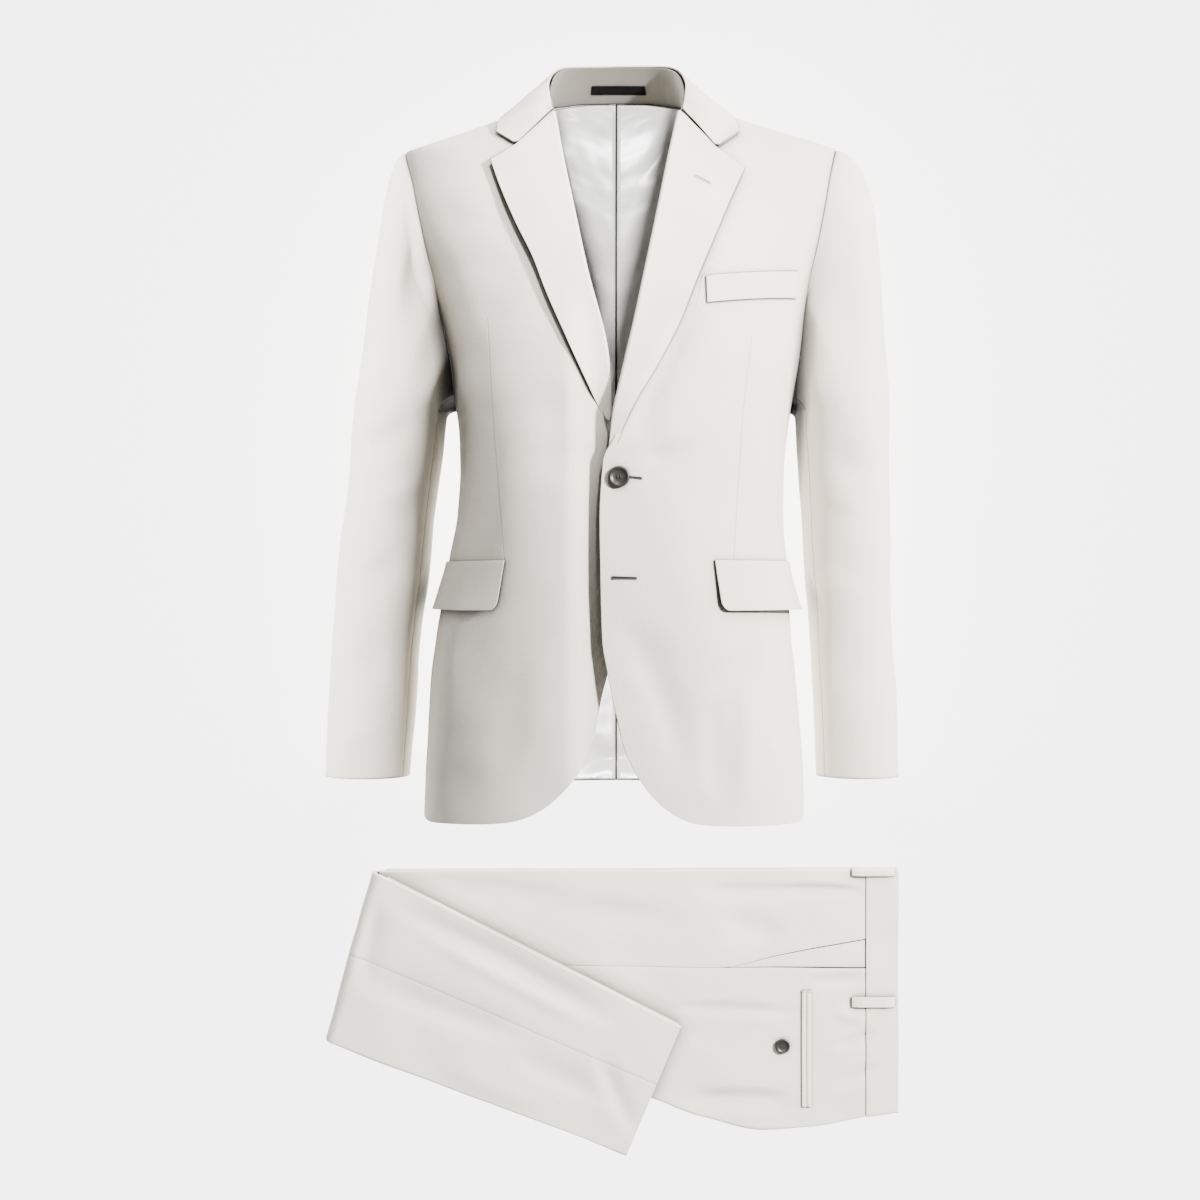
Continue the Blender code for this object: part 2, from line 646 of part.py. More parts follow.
def sleeve(side, name, loop, body_normals, garment):
    """The top sleeve and the under sleeve, and the normals for the armhole's edge.

    Where the sleeve meets the body at an open angle they share a normal, so that their walls meet on one
    plane; under the arm they hang side by side, and the sleeve starts just outside the body."""
    grid, phi = sleeve_grid(side, loop, body_normals)
    normals = normals_of(grid, closed=True)
    normals = outward(normals, grid, grid.mean(axis=1, keepdims=True))
    together = (normals[0] * body_normals).sum(axis=-1, keepdims=True) > 0
    mean = normals[0] + body_normals
    mean = mean / np.linalg.norm(mean, axis=-1, keepdims=True)
    normals[0] = np.where(together, mean, normals[0])
    shared = np.where(together, mean, body_normals)
    clear = np.array([side * UNDERARM_CLEAR, 0, 0])
    grid[0] += np.where(together, 0, clear)
    fore = int(np.argmin(np.abs(phi - FORE_SEAM_PHI)))
    hind = int(np.argmin(np.abs(phi - HIND_SEAM_PHI)))
    top = list(range(hind, len(phi))) + list(range(fore + 1))
    under = list(range(fore, hind + 1))
    wall(f"sleeve_top_{name}", grid[:, top], normals[:, top], garment, edges=(True, False, True, True))
    wall(f"sleeve_under_{name}", grid[:, under], normals[:, under], garment, edges=(True, False, True, True))
    return shared


def share_armhole(normals, shared):
    """Gives the body panels' armhole edges the normals that the sleeve has there."""
    start = len(LOWER_ROWS) - 1
    front_count = normals["front"].shape[0] - start
    normals["front"][start:, -1] = shared[:front_count][::-1]
    normals["side"][-1] = shared[front_count - 1 : front_count + SIDE_COLUMNS]
    rest = np.concatenate([shared[front_count - 1 + SIDE_COLUMNS :], shared[:1]])
    normals["back"][start:, 0] = rest


def body(side, name, garment):
    """Front, side panel, back and both sleeve pieces of one side, with the back's grid for the lining."""
    lower = lower_body(side)
    front, back = front_panel(side, lower), back_panel(side, lower)
    across = outward(normals_of(lower), lower * (1, 0, 1), BODY_CENTRE)
    seam, hind = FRONT_COLUMNS, FRONT_COLUMNS + SIDE_COLUMNS
    normals = {
        "front": outward(normals_of(front), front * (1, 0, 1), BODY_CENTRE),
        "side": across[:, seam : hind + 1].copy(),
        "back": outward(normals_of(back), back * (1, 0, 1), BODY_CENTRE),
    }
    below = len(LOWER_ROWS) - 1
    normals["front"][:below, -1] = across[:below, seam]
    normals["back"][:below, 0] = across[:below, hind]
    normals["back"][:, -1, 0] = 0
    loop, turned = armhole_loop(front, back, lower, normals)
    shared = sleeve(side, name, loop, turned, garment)
    share_armhole(normals, shared)
    normals["front"][-1, :-1] = (0, 1, 0)
    normals["back"][-1, 1 : SHOULDER_COLUMNS + 1] = (0, 1, 0)
    normals["back"] /= np.linalg.norm(normals["back"], axis=-1, keepdims=True)
    wall(f"front_{name}", front, normals["front"], garment, edges=(False, True, False, True))
    wall(f"side_{name}", lower[:, seam : hind + 1], normals["side"], garment, edges=(False, True, True, True))
    wall(f"back_{name}", back, normals["back"], garment, edges=(False, True, True, True))
    return back, normals["back"]


def lining(name, back, normals, garment):
    """The back lining that shows through the neck and over the hem, clear of the back's inner face."""
    clear = WALL + LAYER_GAP
    grid = (back - normals * clear)[1:, 1:]
    grid[0, :, 1] += LINING_HEM_UP
    grid[-1, :, 1] -= LINING_TOP_DOWN
    wall(f"lining_{name}", grid, normals[1:, 1:], garment, satin(), LINING_WALL, (False, False, False, True))


def lapel(side, name, garment):
    """The lapel on its front: a roll at the fold line, then the turned-back cloth out to its edge."""
    roll, edge = ROLL[side], LAPEL_EDGE[side]
    tip = np.array([edge["x"][-1], edge["y"][-1]])
    notch = np.array(NOTCH[side])
    gorge = np.array([roll["x"][-1], roll["y"][-1]])
    v = spread(0, 1, LAPEL_ROWS)
    roll_y = roll["y"][0] + (roll["y"][-1] - roll["y"][0]) * v
    edge_y = edge["y"][0] + (edge["y"][-1] - edge["y"][0]) * v
    inner = np.stack([roll.at("x", roll_y), roll_y], axis=-1)
    outer = np.stack([edge.at("x", edge_y), edge_y], axis=-1)
    across = spread(0, 1, LAPEL_COLUMNS)
    on_gorge, past = spread(0, 1, NOTCH_COLUMN)[:, None], spread(0, 1, LAPEL_COLUMNS - NOTCH_COLUMN)[1:, None]
    top = np.concatenate([gorge + (notch - gorge) * on_gorge, notch + (tip - notch) * past])
    bottom = inner[0] + (outer[0] - inner[0]) * across[:, None]
    plan = coons(bottom, top, inner, outer)
    x, y = side * plan[..., 0], plan[..., 1]
    low, high = LAPEL_LIFT[side]
    opening = np.clip(v / LAPEL_OPENS_BY, 0, 1)[:, None]
    lift = low + (high - low) * across[None, :] ** LAPEL_OPENING_POWER * opening
    face = np.dstack([x, y, front_height(x, y, side) + lift])
    rolled = []
    for angle in np.radians(ROLL_TURNS):
        start = face[:, 0].copy()
        start[:, 0] -= side * ROLL_RADIUS * math.sin(angle)
        start[:, 2] -= ROLL_RADIUS * (1 - math.cos(angle))
        rolled.append(start)
    tucked = rolled[0].copy()
    tucked[:, 2] -= ROLL_RADIUS
    grid = np.concatenate([np.stack([tucked, *rolled], axis=1), face], axis=1)
    normals = normals_of(grid)
    normals = normals if normals[..., 2].sum() > 0 else -normals
    wall(f"lapel_{name}", grid, normals, garment, edges=(False, True, False, False))


def collar_line(kind, stations):
    """One of the collar's lines, from the wearer's right front end round the back to the left one."""
    where, side = np.abs(stations), np.where(stations < 0, -1, 1)
    x = side * COLLAR.at(f"{kind}_x", where)
    return np.stack([x, COLLAR.at(f"{kind}_y", where), COLLAR.at(f"{kind}_z", where)], axis=-1)


def collar_out(stations):
    """Unit vectors square to the leaf, pointing away from the neck."""
    fold, edge = collar_line("fold", stations), collar_line("edge", stations)
    out = np.cross(np.gradient(fold, axis=0), edge - fold)
    out /= np.linalg.norm(out, axis=-1, keepdims=True)
    return out * np.sign((out * (fold - COLLAR_CENTRE)).sum())


def stand_grid(stations, at):
    """The outer face of the collar stand, from just inside the fold down to the neck seam."""
    fold, seam, out = collar_line("fold", stations), collar_line("seam", stations), collar_out(stations)
    drop = (1 - np.abs(stations) / COLLAR["station"][-1])[:, None] * (0, -STAND_DROP, 0)
    inside = fold - out * (WALL + LAYER_GAP) + drop
    return inside[:, None] + (seam - inside)[:, None] * np.array(at)[None, :, None]


def stand_normals(grid):
    return outward(normals_of(grid), grid, COLLAR_CENTRE)


def gorge_end(leaf, fold, hand):
    """The front end of the collar leaf: along the gorge to the notch, then out to the collar's point."""
    notch, tip = np.array([hand * NOTCH[hand][0], NOTCH[hand][1]]), leaf[-1, :2].copy()
    way = notch - fold[:2]
    clear = np.array([-way[1] * hand, way[0] * hand])
    clear *= GORGE_CLEAR * hand * np.sign(clear[0]) / np.linalg.norm(clear)
    steps = spread(0, 1, COLLAR_COLUMNS - 1)[:, None]
    plan = np.concatenate([fold[:2] + clear + way * steps, [tip]])
    z = front_height(plan[:, 0], plan[:, 1], hand) + LEAF_LIFT
    z[0] = fold[2]
    return np.column_stack([plan, z])


def collar(garment):
    """The leaf that folds over and lies on the shoulders, and the stand inside it."""
    stations = spread(-COLLAR["station"][-1], COLLAR["station"][-1], COLLAR_STEPS)
    fold, edge, out = collar_line("fold", stations), collar_line("edge", stations), collar_out(stations)
    u = spread(0, 1, COLLAR_COLUMNS)[None, :, None]
    leaf = fold[:, None] + (edge - fold)[:, None] * u + out[:, None] * LEAF_BULGE * np.sin(math.pi * u**LEAF_POWER)
    for row, hand in ((0, -1), (-1, 1)):
        leaf[row] = gorge_end(leaf[row], fold[row], hand)
    normals = normals_of(leaf)
    normals = normals * np.sign((normals * out[:, None]).sum())
    wall("collar_leaf", leaf, normals, garment, edges=(False, False, False, False))
    stand = stand_grid(stations, spread(0, 1, STAND_COLUMNS))
    wall("collar_stand", stand, stand_normals(stand), garment, edges=(False, False, False, False))


def neck_label(garment):
    """The plain dark tape sewn across the inside of the stand at the centre back."""
    grid = stand_grid(spread(*LABEL_STATIONS, 6), spread(*LABEL_SHARES, 2))
    normals = stand_normals(grid)
    face = grid - normals * (WALL + SEAM)
    wall("neck_tape", face, normals, garment, tape(), LABEL_THICK, (False,) * 4)


def body_frame(side, t, y):
    """Points on the body's outer surface and their outward normals."""
    here = round_body(t, y, side)
    across = round_body(t + FRAME_STEP, y, side) - round_body(t - FRAME_STEP, y, side)
    along = round_body(t, y + FRAME_STEP, side) - round_body(t, y - FRAME_STEP, side)
    normal = np.cross(across, along)
    normal /= np.maximum(np.linalg.norm(normal, axis=-1, keepdims=True), TINY)
    return here, outward(normal, here * (1, 0, 1), BODY_CENTRE)


def flap(side, name, garment):
    """The pocket flap: level along the front and round the side, standing off towards its lower back corner."""
    size = FLAP[side]
    v = spread(0, 1, FLAP_ROWS)[:, None]
    u = spread(0, 1, FLAP_COLUMNS)[None, :]
    y = size["top"] + (size["low"] - size["top"]) * v + 0 * u
    turns = []
    for row, share in enumerate(v[:, 0]):
        start = side * (size["in_top"] + (size["in_low"] - size["in_top"]) * share)
        tries = np.linspace(angle_of(start, y[row, 0], side), FLAP_PATH_END_T, FLAP_PATH_POINTS)
        path = round_body(tries, np.full(FLAP_PATH_POINTS, y[row, 0]), side)
        reach = np.concatenate([[0], np.cumsum(np.linalg.norm(np.diff(path, axis=0), axis=1))])
        turns.append(np.interp(u[0] * FLAP_LENGTH, reach, tries))
    points, normals = body_frame(side, np.array(turns), y)
    opening = FLAP_FRONT_SHARE + (1 - FLAP_FRONT_SHARE) * u**FLAP_ACROSS_POWER
    lift = FLAP_CLEAR + FLAP_WALL + size["stands_off"] * v**FLAP_DOWN_POWER * opening
    grid = points + normals * lift[..., None]
    wall(f"pocket_flap_{name}", grid, normals, garment, thick=FLAP_WALL, edges=(False,) * 4)


def breast_welt(garment):
    """The slanted welt of the breast pocket, laid on the left front."""
    top_in, top_out, low_out, low_in = (np.array(p) for p in WELT_CORNERS)
    u = spread(0, 1, WELT_COLUMNS)[None, :, None]
    v = spread(0, 1, WELT_ROWS)[:, None, None]
    plan = (low_in + (low_out - low_in) * u) * (1 - v) + (top_in + (top_out - top_in) * u) * v
    z = front_height(plan[..., 0], plan[..., 1], 1)
    grid = np.dstack([plan, z])
    normals = outward(normals_of(grid), grid, CHEST_CENTRE)
    lifted = grid + normals * (LAYER_GAP + FLAP_WALL)
    wall("breast_welt", lifted, normals, garment, thick=FLAP_WALL, edges=(False,) * 4)


def turned(name, profile, surface):
    """A turned piece: a profile of (radius, height) pairs in millimetres, from the top of its axis to the foot."""
    mesh = bpy.data.meshes.new(name)
    points = [(r * MM, 0, z * MM) for r, z in profile]
    mesh.from_pydata(points, [(i, i + 1) for i in range(len(points) - 1)], [])
    mesh.materials.append(surface)
    obj = bpy.data.objects.new(name, mesh)
    COLLECTION.objects.link(obj)
    screw = obj.modifiers.new("turn", "SCREW")
    screw.steps = screw.render_steps = BUTTON_SIDES
    screw.use_merge_vertices = True
    screw.merge_threshold = 0.00001
    screw.use_smooth_shade = True
    return obj


def holes_cutter(name, radius, height):
    """The four pins that cut a button's holes."""
    mesh = bpy.data.meshes.new(f"{name}_holes")
    pins = bmesh.new()
    for pin in range(BUTTON_HOLES["count"]):
        angle = math.radians(BUTTON_HOLES["first"] + 360 * pin / BUTTON_HOLES["count"])
        out = BUTTON_HOLES["out"] * radius
        at = Vector((out * math.cos(angle), out * math.sin(angle), height / 2)) * MM
        pin_radius = BUTTON_HOLES["radius"] * radius * MM
        bmesh.ops.create_cone(
            pins, cap_ends=True, segments=BUTTON_HOLES["sides"], radius1=pin_radius, radius2=pin_radius,
            depth=2 * height * MM, matrix=Matrix.Translation(at),
        )
    pins.to_mesh(mesh)
    pins.free()
    cutter = bpy.data.objects.new(f"{name}_holes", mesh)
    CUTTERS.objects.link(cutter)
    cutter.hide_render = True
    cutter.display_type = "WIRE"
    return cutter


def button(name, place, normal, size, garment):
    """A four-hole button with a raised rim, its back on the cloth at a place and facing along a normal."""
    radius, height = size["radius"], size["height"]
    obj = turned(name, [(r * radius, h * height) for r, h in BUTTON_PROFILE.rows], horn())
    cutter = holes_cutter(name, radius, height)
    cut = obj.modifiers.new("holes", "BOOLEAN")
    cut.operation = "DIFFERENCE"
    cut.object = cutter
    spin = Vector((0, 0, 1)).rotation_difference(Vector(normal))
    where = Vector(place) * MM + Vector(normal) * BUTTON_CLEAR * MM
    for piece in (obj, cutter):
        piece.parent = garment
        piece.matrix_local = Matrix.Translation(where) @ spin.to_matrix().to_4x4()


def front_buttons(garment):
    """The fastened button on the left front, and the lower one on the right front, under the lap."""
    for name, side, (x, y) in (("front_button", 1, FRONT_BUTTON_AT), ("lower_button", -1, HIDDEN_BUTTON_AT)):
        z = float(front_height(x, y, side))
        rise = front_height(x + SLOPE_REACH, y, side) - front_height(x - SLOPE_REACH, y, side)
        slope = float(rise) / (2 * SLOPE_REACH)
        normal = Vector((-slope, 0, 1)).normalized()
        button(name, (x, y, z), normal, FRONT_BUTTON, garment)


def seam_share(front, back, table):
    """How far across a leg, from the front crease, the line of a table lies."""
    share = FIRST_SEAM_SHARE
    for _ in range(SEAM_ROUNDS):
        x = front[0] + (back[0] - front[0]) * share
        share = (table.at("y", x) - front[1]) / (back[1] - front[1])
    return float(share)


def upper_rows(stops):
    """Front and back crease points across the upper leg, at shares of its length from the fold to the waist seam."""
    rows = []
    for stop in stops:
        front_x = FOLD_TOP[0] + (WAIST_SEAM_X - FOLD_TOP[0]) * stop
        back_x = FOLD_LOW[0] + (WAIST_SEAM_X - FOLD_LOW[0]) * stop
        front = np.array([front_x, float(LEG.at("front", front_x))])
        back = np.array([back_x, float(LEG.at("back", back_x))])
        rows.append((front, back))
    return rows


def folded_rows(stops):
    """The same across the folded leg, from the middle of the bend to the hem."""
    fold_top, fold_low = np.array(FOLD_TOP), np.array(FOLD_LOW)
    start = BEND_OUT * BEND_RADIUS
    rows = []
    for stop in stops:
        front = (fold_top - start) * (1 - stop) + np.array(HEM_TOP) * stop
        back = (fold_low - start) * (1 - stop) + np.array(HEM_LOW) * stop
        rows.append((front, back))
    return rows


def sheet_grid(rows, tops, inwards, at, crease):
    """The outer face of one panel of a leg: flat from its seam to its crease, then round the crease.

    rows holds the two crease points of each section, tops its height and place along the bend, inwards the
    direction into the leg, and at where the panel's seam lies across the leg."""
    turns = np.radians(spread(0, CREASE_TURN, CREASE_STEPS))
    grid = []
    for (front, back), top, inward, share in zip(rows, tops, inwards, at):
        width = np.linalg.norm(back - front)
        along = (back - front) / width
        edge, towards = (front, along) if crease == "front" else (back, -along)
        reach = width * (share if crease == "front" else 1 - share)
        flat = spread(reach, CREASE_RADIUS, PANEL_COLUMNS)
        line = [(d, 0.0) for d in flat]
        line += [(CREASE_RADIUS * (1 - math.sin(a)), CREASE_RADIUS * (1 - math.cos(a))) for a in turns[1:]]
        points = []
        for distance, depth in line:
            plan = edge + towards * distance
            points.append(np.array([plan[0], plan[1], 0]) + top + inward * depth)
        grid.append(points)
    return np.array(grid)


def panel_normals(grid, inwards):
    normals = normals_of(grid)
    facing = -np.array(inwards)[:, None]
    return normals if (normals[:, :2] * facing).sum() > 0 else -normals


def upper_leg(garment):
    """The left leg's outer panels, on top from the fold to the waist, and the facing in the slanted pocket."""
    rows = upper_rows(UPPER_STOPS)
    top = np.array([0, 0, LEG_TOP])
    down = np.array([0, 0, -1.0])
    tops, inwards = [top] * len(rows), [down] * len(rows)
    for name, table, crease in (("front", FRONT_PANEL_EDGE, "front"), ("back", SIDE_SEAM, "back")):
        at = [seam_share(front, back, table) for front, back in rows]
        grid = sheet_grid(rows, tops, inwards, at, crease)
        normals = panel_normals(grid, inwards)
        wall(f"trouser_left_{name}", grid, normals, garment, thick=TROUSER_WALL, edges=(False, True, True, False))
    x = spread(POCKET_FROM_X, WAIST_SEAM_X, FACING_STEPS)
    mouth, seam = FRONT_PANEL_EDGE.at("y", x), SIDE_SEAM.at("y", x)
    facing = np.array([[(a, b - SEAM, FACING_TOP), (a, c + SEAM, FACING_TOP)] for a, b, c in zip(x, mouth, seam)])
    up = np.zeros_like(facing) + (0, 0, 1.0)
    wall("pocket_facing", facing, up, garment, thick=FACING_WALL, edges=(True, True, False, False))


def folded_leg(garment):
    """The right leg's outer panels, on top from the hem to the fold and round the bend to the table."""
    hem_to_bend = [1 - s for s in FOLDED_STOPS]
    rows = folded_rows(hem_to_bend)
    tops = [np.array([0, 0, 2 * BEND_RADIUS])] * len(rows)
    inwards = [np.array([0, 0, -1.0])] * len(rows)
    out = np.array([*BEND_OUT, 0])
    for angle in np.radians(spread(90, BEND_END, BEND_STEPS))[1:]:
        way = out * math.cos(angle) + np.array([0, 0, math.sin(angle)])
        rows.append(rows[len(hem_to_bend) - 1])
        tops.append(way * BEND_RADIUS + np.array([0, 0, BEND_RADIUS]))
        inwards.append(-way)
    full = len(hem_to_bend) + BEND_STEPS
    along = [min(i / (len(hem_to_bend) - 1), 1.0) for i in range(full)]
    at = [HEM_SEAM_SHARE + (FOLD_SEAM_SHARE - HEM_SEAM_SHARE) * s for s in along]
    for crease in ("front", "back"):
        grid = sheet_grid(rows, tops, inwards, at, crease)
        normals = panel_normals(grid, inwards)
        wall(f"trouser_right_{crease}", grid, normals, garment, thick=TROUSER_WALL, edges=(False, False, True, False))


def layer_loop(front, back, low, high, tuck):
    """One closed section of the hidden layers, with a rounded edge for each leg."""
    along = (back - front) / np.linalg.norm(back - front)
    loop = []
    for inset, height in LAYER_EDGE.rows:
        loop.append([*(front + along * (inset + tuck)), low + (high - low) * height])
    for inset, height in LAYER_EDGE.rows[::-1]:
        loop.append([*(back - along * (inset + tuck)), low + (high - low) * height])
    return np.array(loop)


def bend_heights(distance):
    """How low and high the inside of the bend reaches, this far past its middle."""
    reach = math.sqrt((BEND_RADIUS - TROUSER_WALL - LAYER_GAP) ** 2 - distance**2)
    return BEND_RADIUS - reach, BEND_RADIUS + reach


def hidden_layers(garment):
    """The layers that show only at their edges: under the left leg's panels, and under the folded leg's."""
    thick = LEG_TOP - TROUSER_WALL - SEAM
    front, back = folded_rows([0])[0]
    lower, upper = [], []
    for distance, tuck in NOSE.rows:
        shift = BEND_OUT * distance
        low, high = bend_heights(distance)
        lower.append(layer_loop(front + shift, back + shift, low, thick, tuck))
        upper.append(layer_loop(front + shift, back + shift, FOLD_LIFT, high, tuck))
    lower += [layer_loop(f, b, 0, thick, 0) for f, b in upper_rows(LAYER_STOPS)]
    for x, low, tuck in WAIST_LAYERS.rows:
        f, b = np.array([x, float(LEG.at("front", x))]), np.array([x, float(LEG.at("back", x))])
        lower.append(layer_loop(f, b, low, thick, tuck))
    upper += [layer_loop(f, b, FOLD_LIFT, FOLD_LIFT + thick, 0) for f, b in folded_rows(FOLDED_LAYER_STOPS)]
    loft("trouser_layers", lower, garment, suiting())
    loft("folded_layers", upper, garment, suiting())


def waistband(garment):
    """The left half of the waistband on top and the right half on the table, meeting at the front and the back."""
    x = np.array([WAIST_SEAM_X + SEAM, WAIST_SEAM_X / 2, 0])
    fronts = [np.array([a, float(LEG.at("front", a))]) for a in x]
    backs = [np.array([a, float(LEG.at("back", a))]) for a in x]
    arc = np.radians(spread(0, BAND_TURN, BAND_STEPS))
    for name, top, down in (("left", BAND_TOP, -1.0), ("right", 0.0, 1.0)):
        grid = []
        for front, back in zip(fronts, backs):
            curl = [(BAND_RADIUS * (1 - math.sin(a)), BAND_RADIUS * (1 - math.cos(a))) for a in arc[::-1]]
            width = front[1] - back[1]
            row = [(front[0], front[1] - d, top + down * h) for d, h in curl]
            row += [(front[0], front[1] - width * s, top) for s in BAND_SHARES]
            row += [(front[0], back[1] + d, top + down * h) for d, h in curl[::-1]]
            grid.append(row)
        grid = np.array(grid)
        normals = normals_of(grid)
        normals = normals if -down * normals[..., 2].sum() > 0 else -normals
        wall(f"waistband_{name}", grid, normals, garment, thick=BAND_WALL, edges=(False,) * 4)


def belt_loops(garment):
    """Two loops over the waistband: one rolling over its front edge, one behind the side seam."""
    front = float(LEG.at("front", LOOP_MIDDLE_X))
    turns = np.radians(LOOP_TURNS)
    edge = [(front - LOOP_WIDTH, 0)]
    edge += [(front - BAND_RADIUS + LOOP_RADIUS * math.cos(a), LOOP_RADIUS * (math.sin(a) - 1)) for a in turns]
    flat = [(y, 0) for y in spread(*SIDE_LOOP_Y, 3)]
    for name, across in (("front", edge), ("side", flat)):
        lift = BAND_TOP + SEAM + LOOP_WALL
        grid = np.array([[(x, y, lift + dz + up) for y, dz in across] for x, up in LOOP_LIFTS.rows])
        normals = normals_of(grid)
        normals = normals if normals[..., 2].sum() > 0 else -normals
        wall(f"belt_loop_{name}", grid, normals, garment, thick=LOOP_WALL, edges=(False,) * 4)


def back_pocket(garment):
    """The two welts of the back pocket, laid on the left back, and the pocket's button below them."""
    lift = LEG_TOP + SEAM + WELT_WALL
    y = spread(*BACK_WELT_Y, 4)
    for name, start in (("upper", BACK_WELT_X + WELT_WIDTH + SEAM), ("lower", BACK_WELT_X)):
        x = spread(start, start + WELT_WIDTH, 2)
        heights = (lift, lift + WELT_CROWN, lift)
        grid = np.array([[(a, b, z) for a, z in zip(x, heights)] for b in y])
        up = np.zeros_like(grid) + (0, 0, 1.0)
        wall(f"back_pocket_welt_{name}", grid, up, garment, thick=WELT_WALL, edges=(False,) * 4)
    button("back_pocket_button", (*BACK_BUTTON_AT, LEG_TOP), (0, 0, 1), TROUSER_BUTTON, garment)


def main():
    """Both garments, each under its own empty."""
    jacket = bpy.data.objects.new("jacket", None)
    trousers = bpy.data.objects.new("trousers", None)
    for garment, place in ((jacket, JACKET_AT), (trousers, TROUSERS_AT)):
        COLLECTION.objects.link(garment)
        garment.location = (place[0] * MM, place[1] * MM, 0)
    for name, side in (("left", 1), ("right", -1)):
        back, normals = body(side, name, jacket)
        lining(name, back, normals, jacket)
        lapel(side, name, jacket)
        flap(side, name, jacket)
    collar(jacket)
    neck_label(jacket)
    breast_welt(jacket)
    front_buttons(jacket)
    upper_leg(trousers)
    folded_leg(trousers)
    hidden_layers(trousers)
    waistband(trousers)
    belt_loops(trousers)
    back_pocket(trousers)


for old in list(bpy.data.objects):
    bpy.data.objects.remove(old)
COLLECTION = bpy.data.collections.new("suit")
CUTTERS = bpy.data.collections.new("cutters")
bpy.context.scene.collection.children.link(COLLECTION)
bpy.context.scene.collection.children.link(CUTTERS)
main()
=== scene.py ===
"""The looks of the two-piece suit: thin cloth shells with folds, seams and weave, buttons, light and camera.

Millimetres in the tables, metres in the meshes. Each garment has its own frame, as in the part's source: the
jacket's origin is its centre-back hem, and the trousers' is the front corner of the waistband.
"""

import math

import bmesh
import bpy
import numpy as np
from mathutils import Matrix, Vector
from mathutils.bvhtree import BVHTree


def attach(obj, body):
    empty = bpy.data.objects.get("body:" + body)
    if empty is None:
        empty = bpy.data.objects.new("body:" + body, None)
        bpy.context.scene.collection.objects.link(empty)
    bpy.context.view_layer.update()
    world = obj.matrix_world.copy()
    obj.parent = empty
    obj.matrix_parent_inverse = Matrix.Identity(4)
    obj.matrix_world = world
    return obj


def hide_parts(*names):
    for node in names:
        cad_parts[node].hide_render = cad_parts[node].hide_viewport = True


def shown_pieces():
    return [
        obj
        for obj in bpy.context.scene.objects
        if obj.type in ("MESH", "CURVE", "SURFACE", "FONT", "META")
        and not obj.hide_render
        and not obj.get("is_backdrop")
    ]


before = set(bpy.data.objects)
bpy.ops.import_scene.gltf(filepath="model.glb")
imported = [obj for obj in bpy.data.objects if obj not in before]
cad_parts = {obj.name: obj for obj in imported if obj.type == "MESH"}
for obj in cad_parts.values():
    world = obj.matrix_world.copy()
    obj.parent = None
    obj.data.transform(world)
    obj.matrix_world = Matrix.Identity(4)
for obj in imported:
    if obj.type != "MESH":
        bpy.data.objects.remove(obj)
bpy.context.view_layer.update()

MM = 0.001

# Where the two garments lie on the table.
JACKET_AT = (5.0, -186.6)
TROUSERS_AT = (319.0, -284.0)

# Cloth, and how finely it is drawn: the usual step, and the closer ones at an edge that rounds over.
WALL = 2.0
LINING_WALL = 1.0
SEAM = 0.36
LAYER_GAP = 0.6
STEP = 4.0
RIM = (0.0, 0.6, 1.5, 3.0)

# Jacket levels and points, from the centre-back hem. Keys 1 and -1 are the wearer's left and right.
ARMPIT_Y = 418.0
NECK_Y = 722.0
NAPE_Y = 745.0
NECK_X = 76.0
TIP_X, TIP_Y = {1: 229.0, -1: 222.0}, {1: 674.0, -1: 670.0}

# Powers of the curve that rounds the body, across and up, for the front and for the back.
FRONT_POWERS = (2.3, 2.0)
BACK_POWERS = (3.4, 3.4)

# Where the side panel starts and ends, in degrees round the body from the centre front.
FRONT_SEAM_T = 90.0
FRONT_SEAM_HEM_T = 97.0
BACK_SEAM_T = 128.0

# The body's axis runs through this point, from hem to neck.
BODY_AXIS = (0.0, 0.0, 100.0)

# About how wide or long the pieces are, for the number of columns or rows in each.
BODY_WIDTHS, LAPEL_WIDTH, BREAST_WELT_SIZE = (290, 105, 240), 80, (97, 27)
LEAF_SIZE, LEAF_END_WIDTH, STAND_SIZE, LABEL_SIZE = (420, 50), 26, (440, 38), (56, 9)
UPPER_LENGTH, FOLDED_LENGTH, PANEL_WIDTH, POCKET_SIZE, BACK_WELT_RUN = 560, 370, 150, (140, 30), 8


class Table:
    """Rows of sizes with named columns, read smoothly against the first column."""

    def __init__(self, names, *rows):
        self.names = names.split()
        self.rows = np.array(rows, float)

    def __getitem__(self, name):
        return self.rows[:, self.names.index(name)]

    def at(self, name, where):
        return smooth(self.rows[:, 0], self[name], where)


def smooth(xs, ys, x):
    """The monotone cubic through the points (xs, ys), read at x."""
    x = np.asarray(x, float)
    step = np.diff(xs)
    slope = np.diff(ys) / step
    product = slope[1:] * slope[:-1]
    total = np.where(slope[1:] + slope[:-1] == 0, 1, slope[1:] + slope[:-1])
    inner = np.where(product > 0, 2 * product / total, 0)
    tangent = np.concatenate([slope[:1], inner, slope[-1:]])
    i = np.clip(np.searchsorted(xs, x) - 1, 0, len(step) - 1)
    f = np.clip((x - xs[i]) / step[i], 0, 1)
    return (
        ys[i] * (1 + 2 * f) * (1 - f) ** 2
        + ys[i + 1] * f * f * (3 - 2 * f)
        + step[i] * f * (1 - f) * (tangent[i] * (1 - f) - tangent[i + 1] * f)
    )


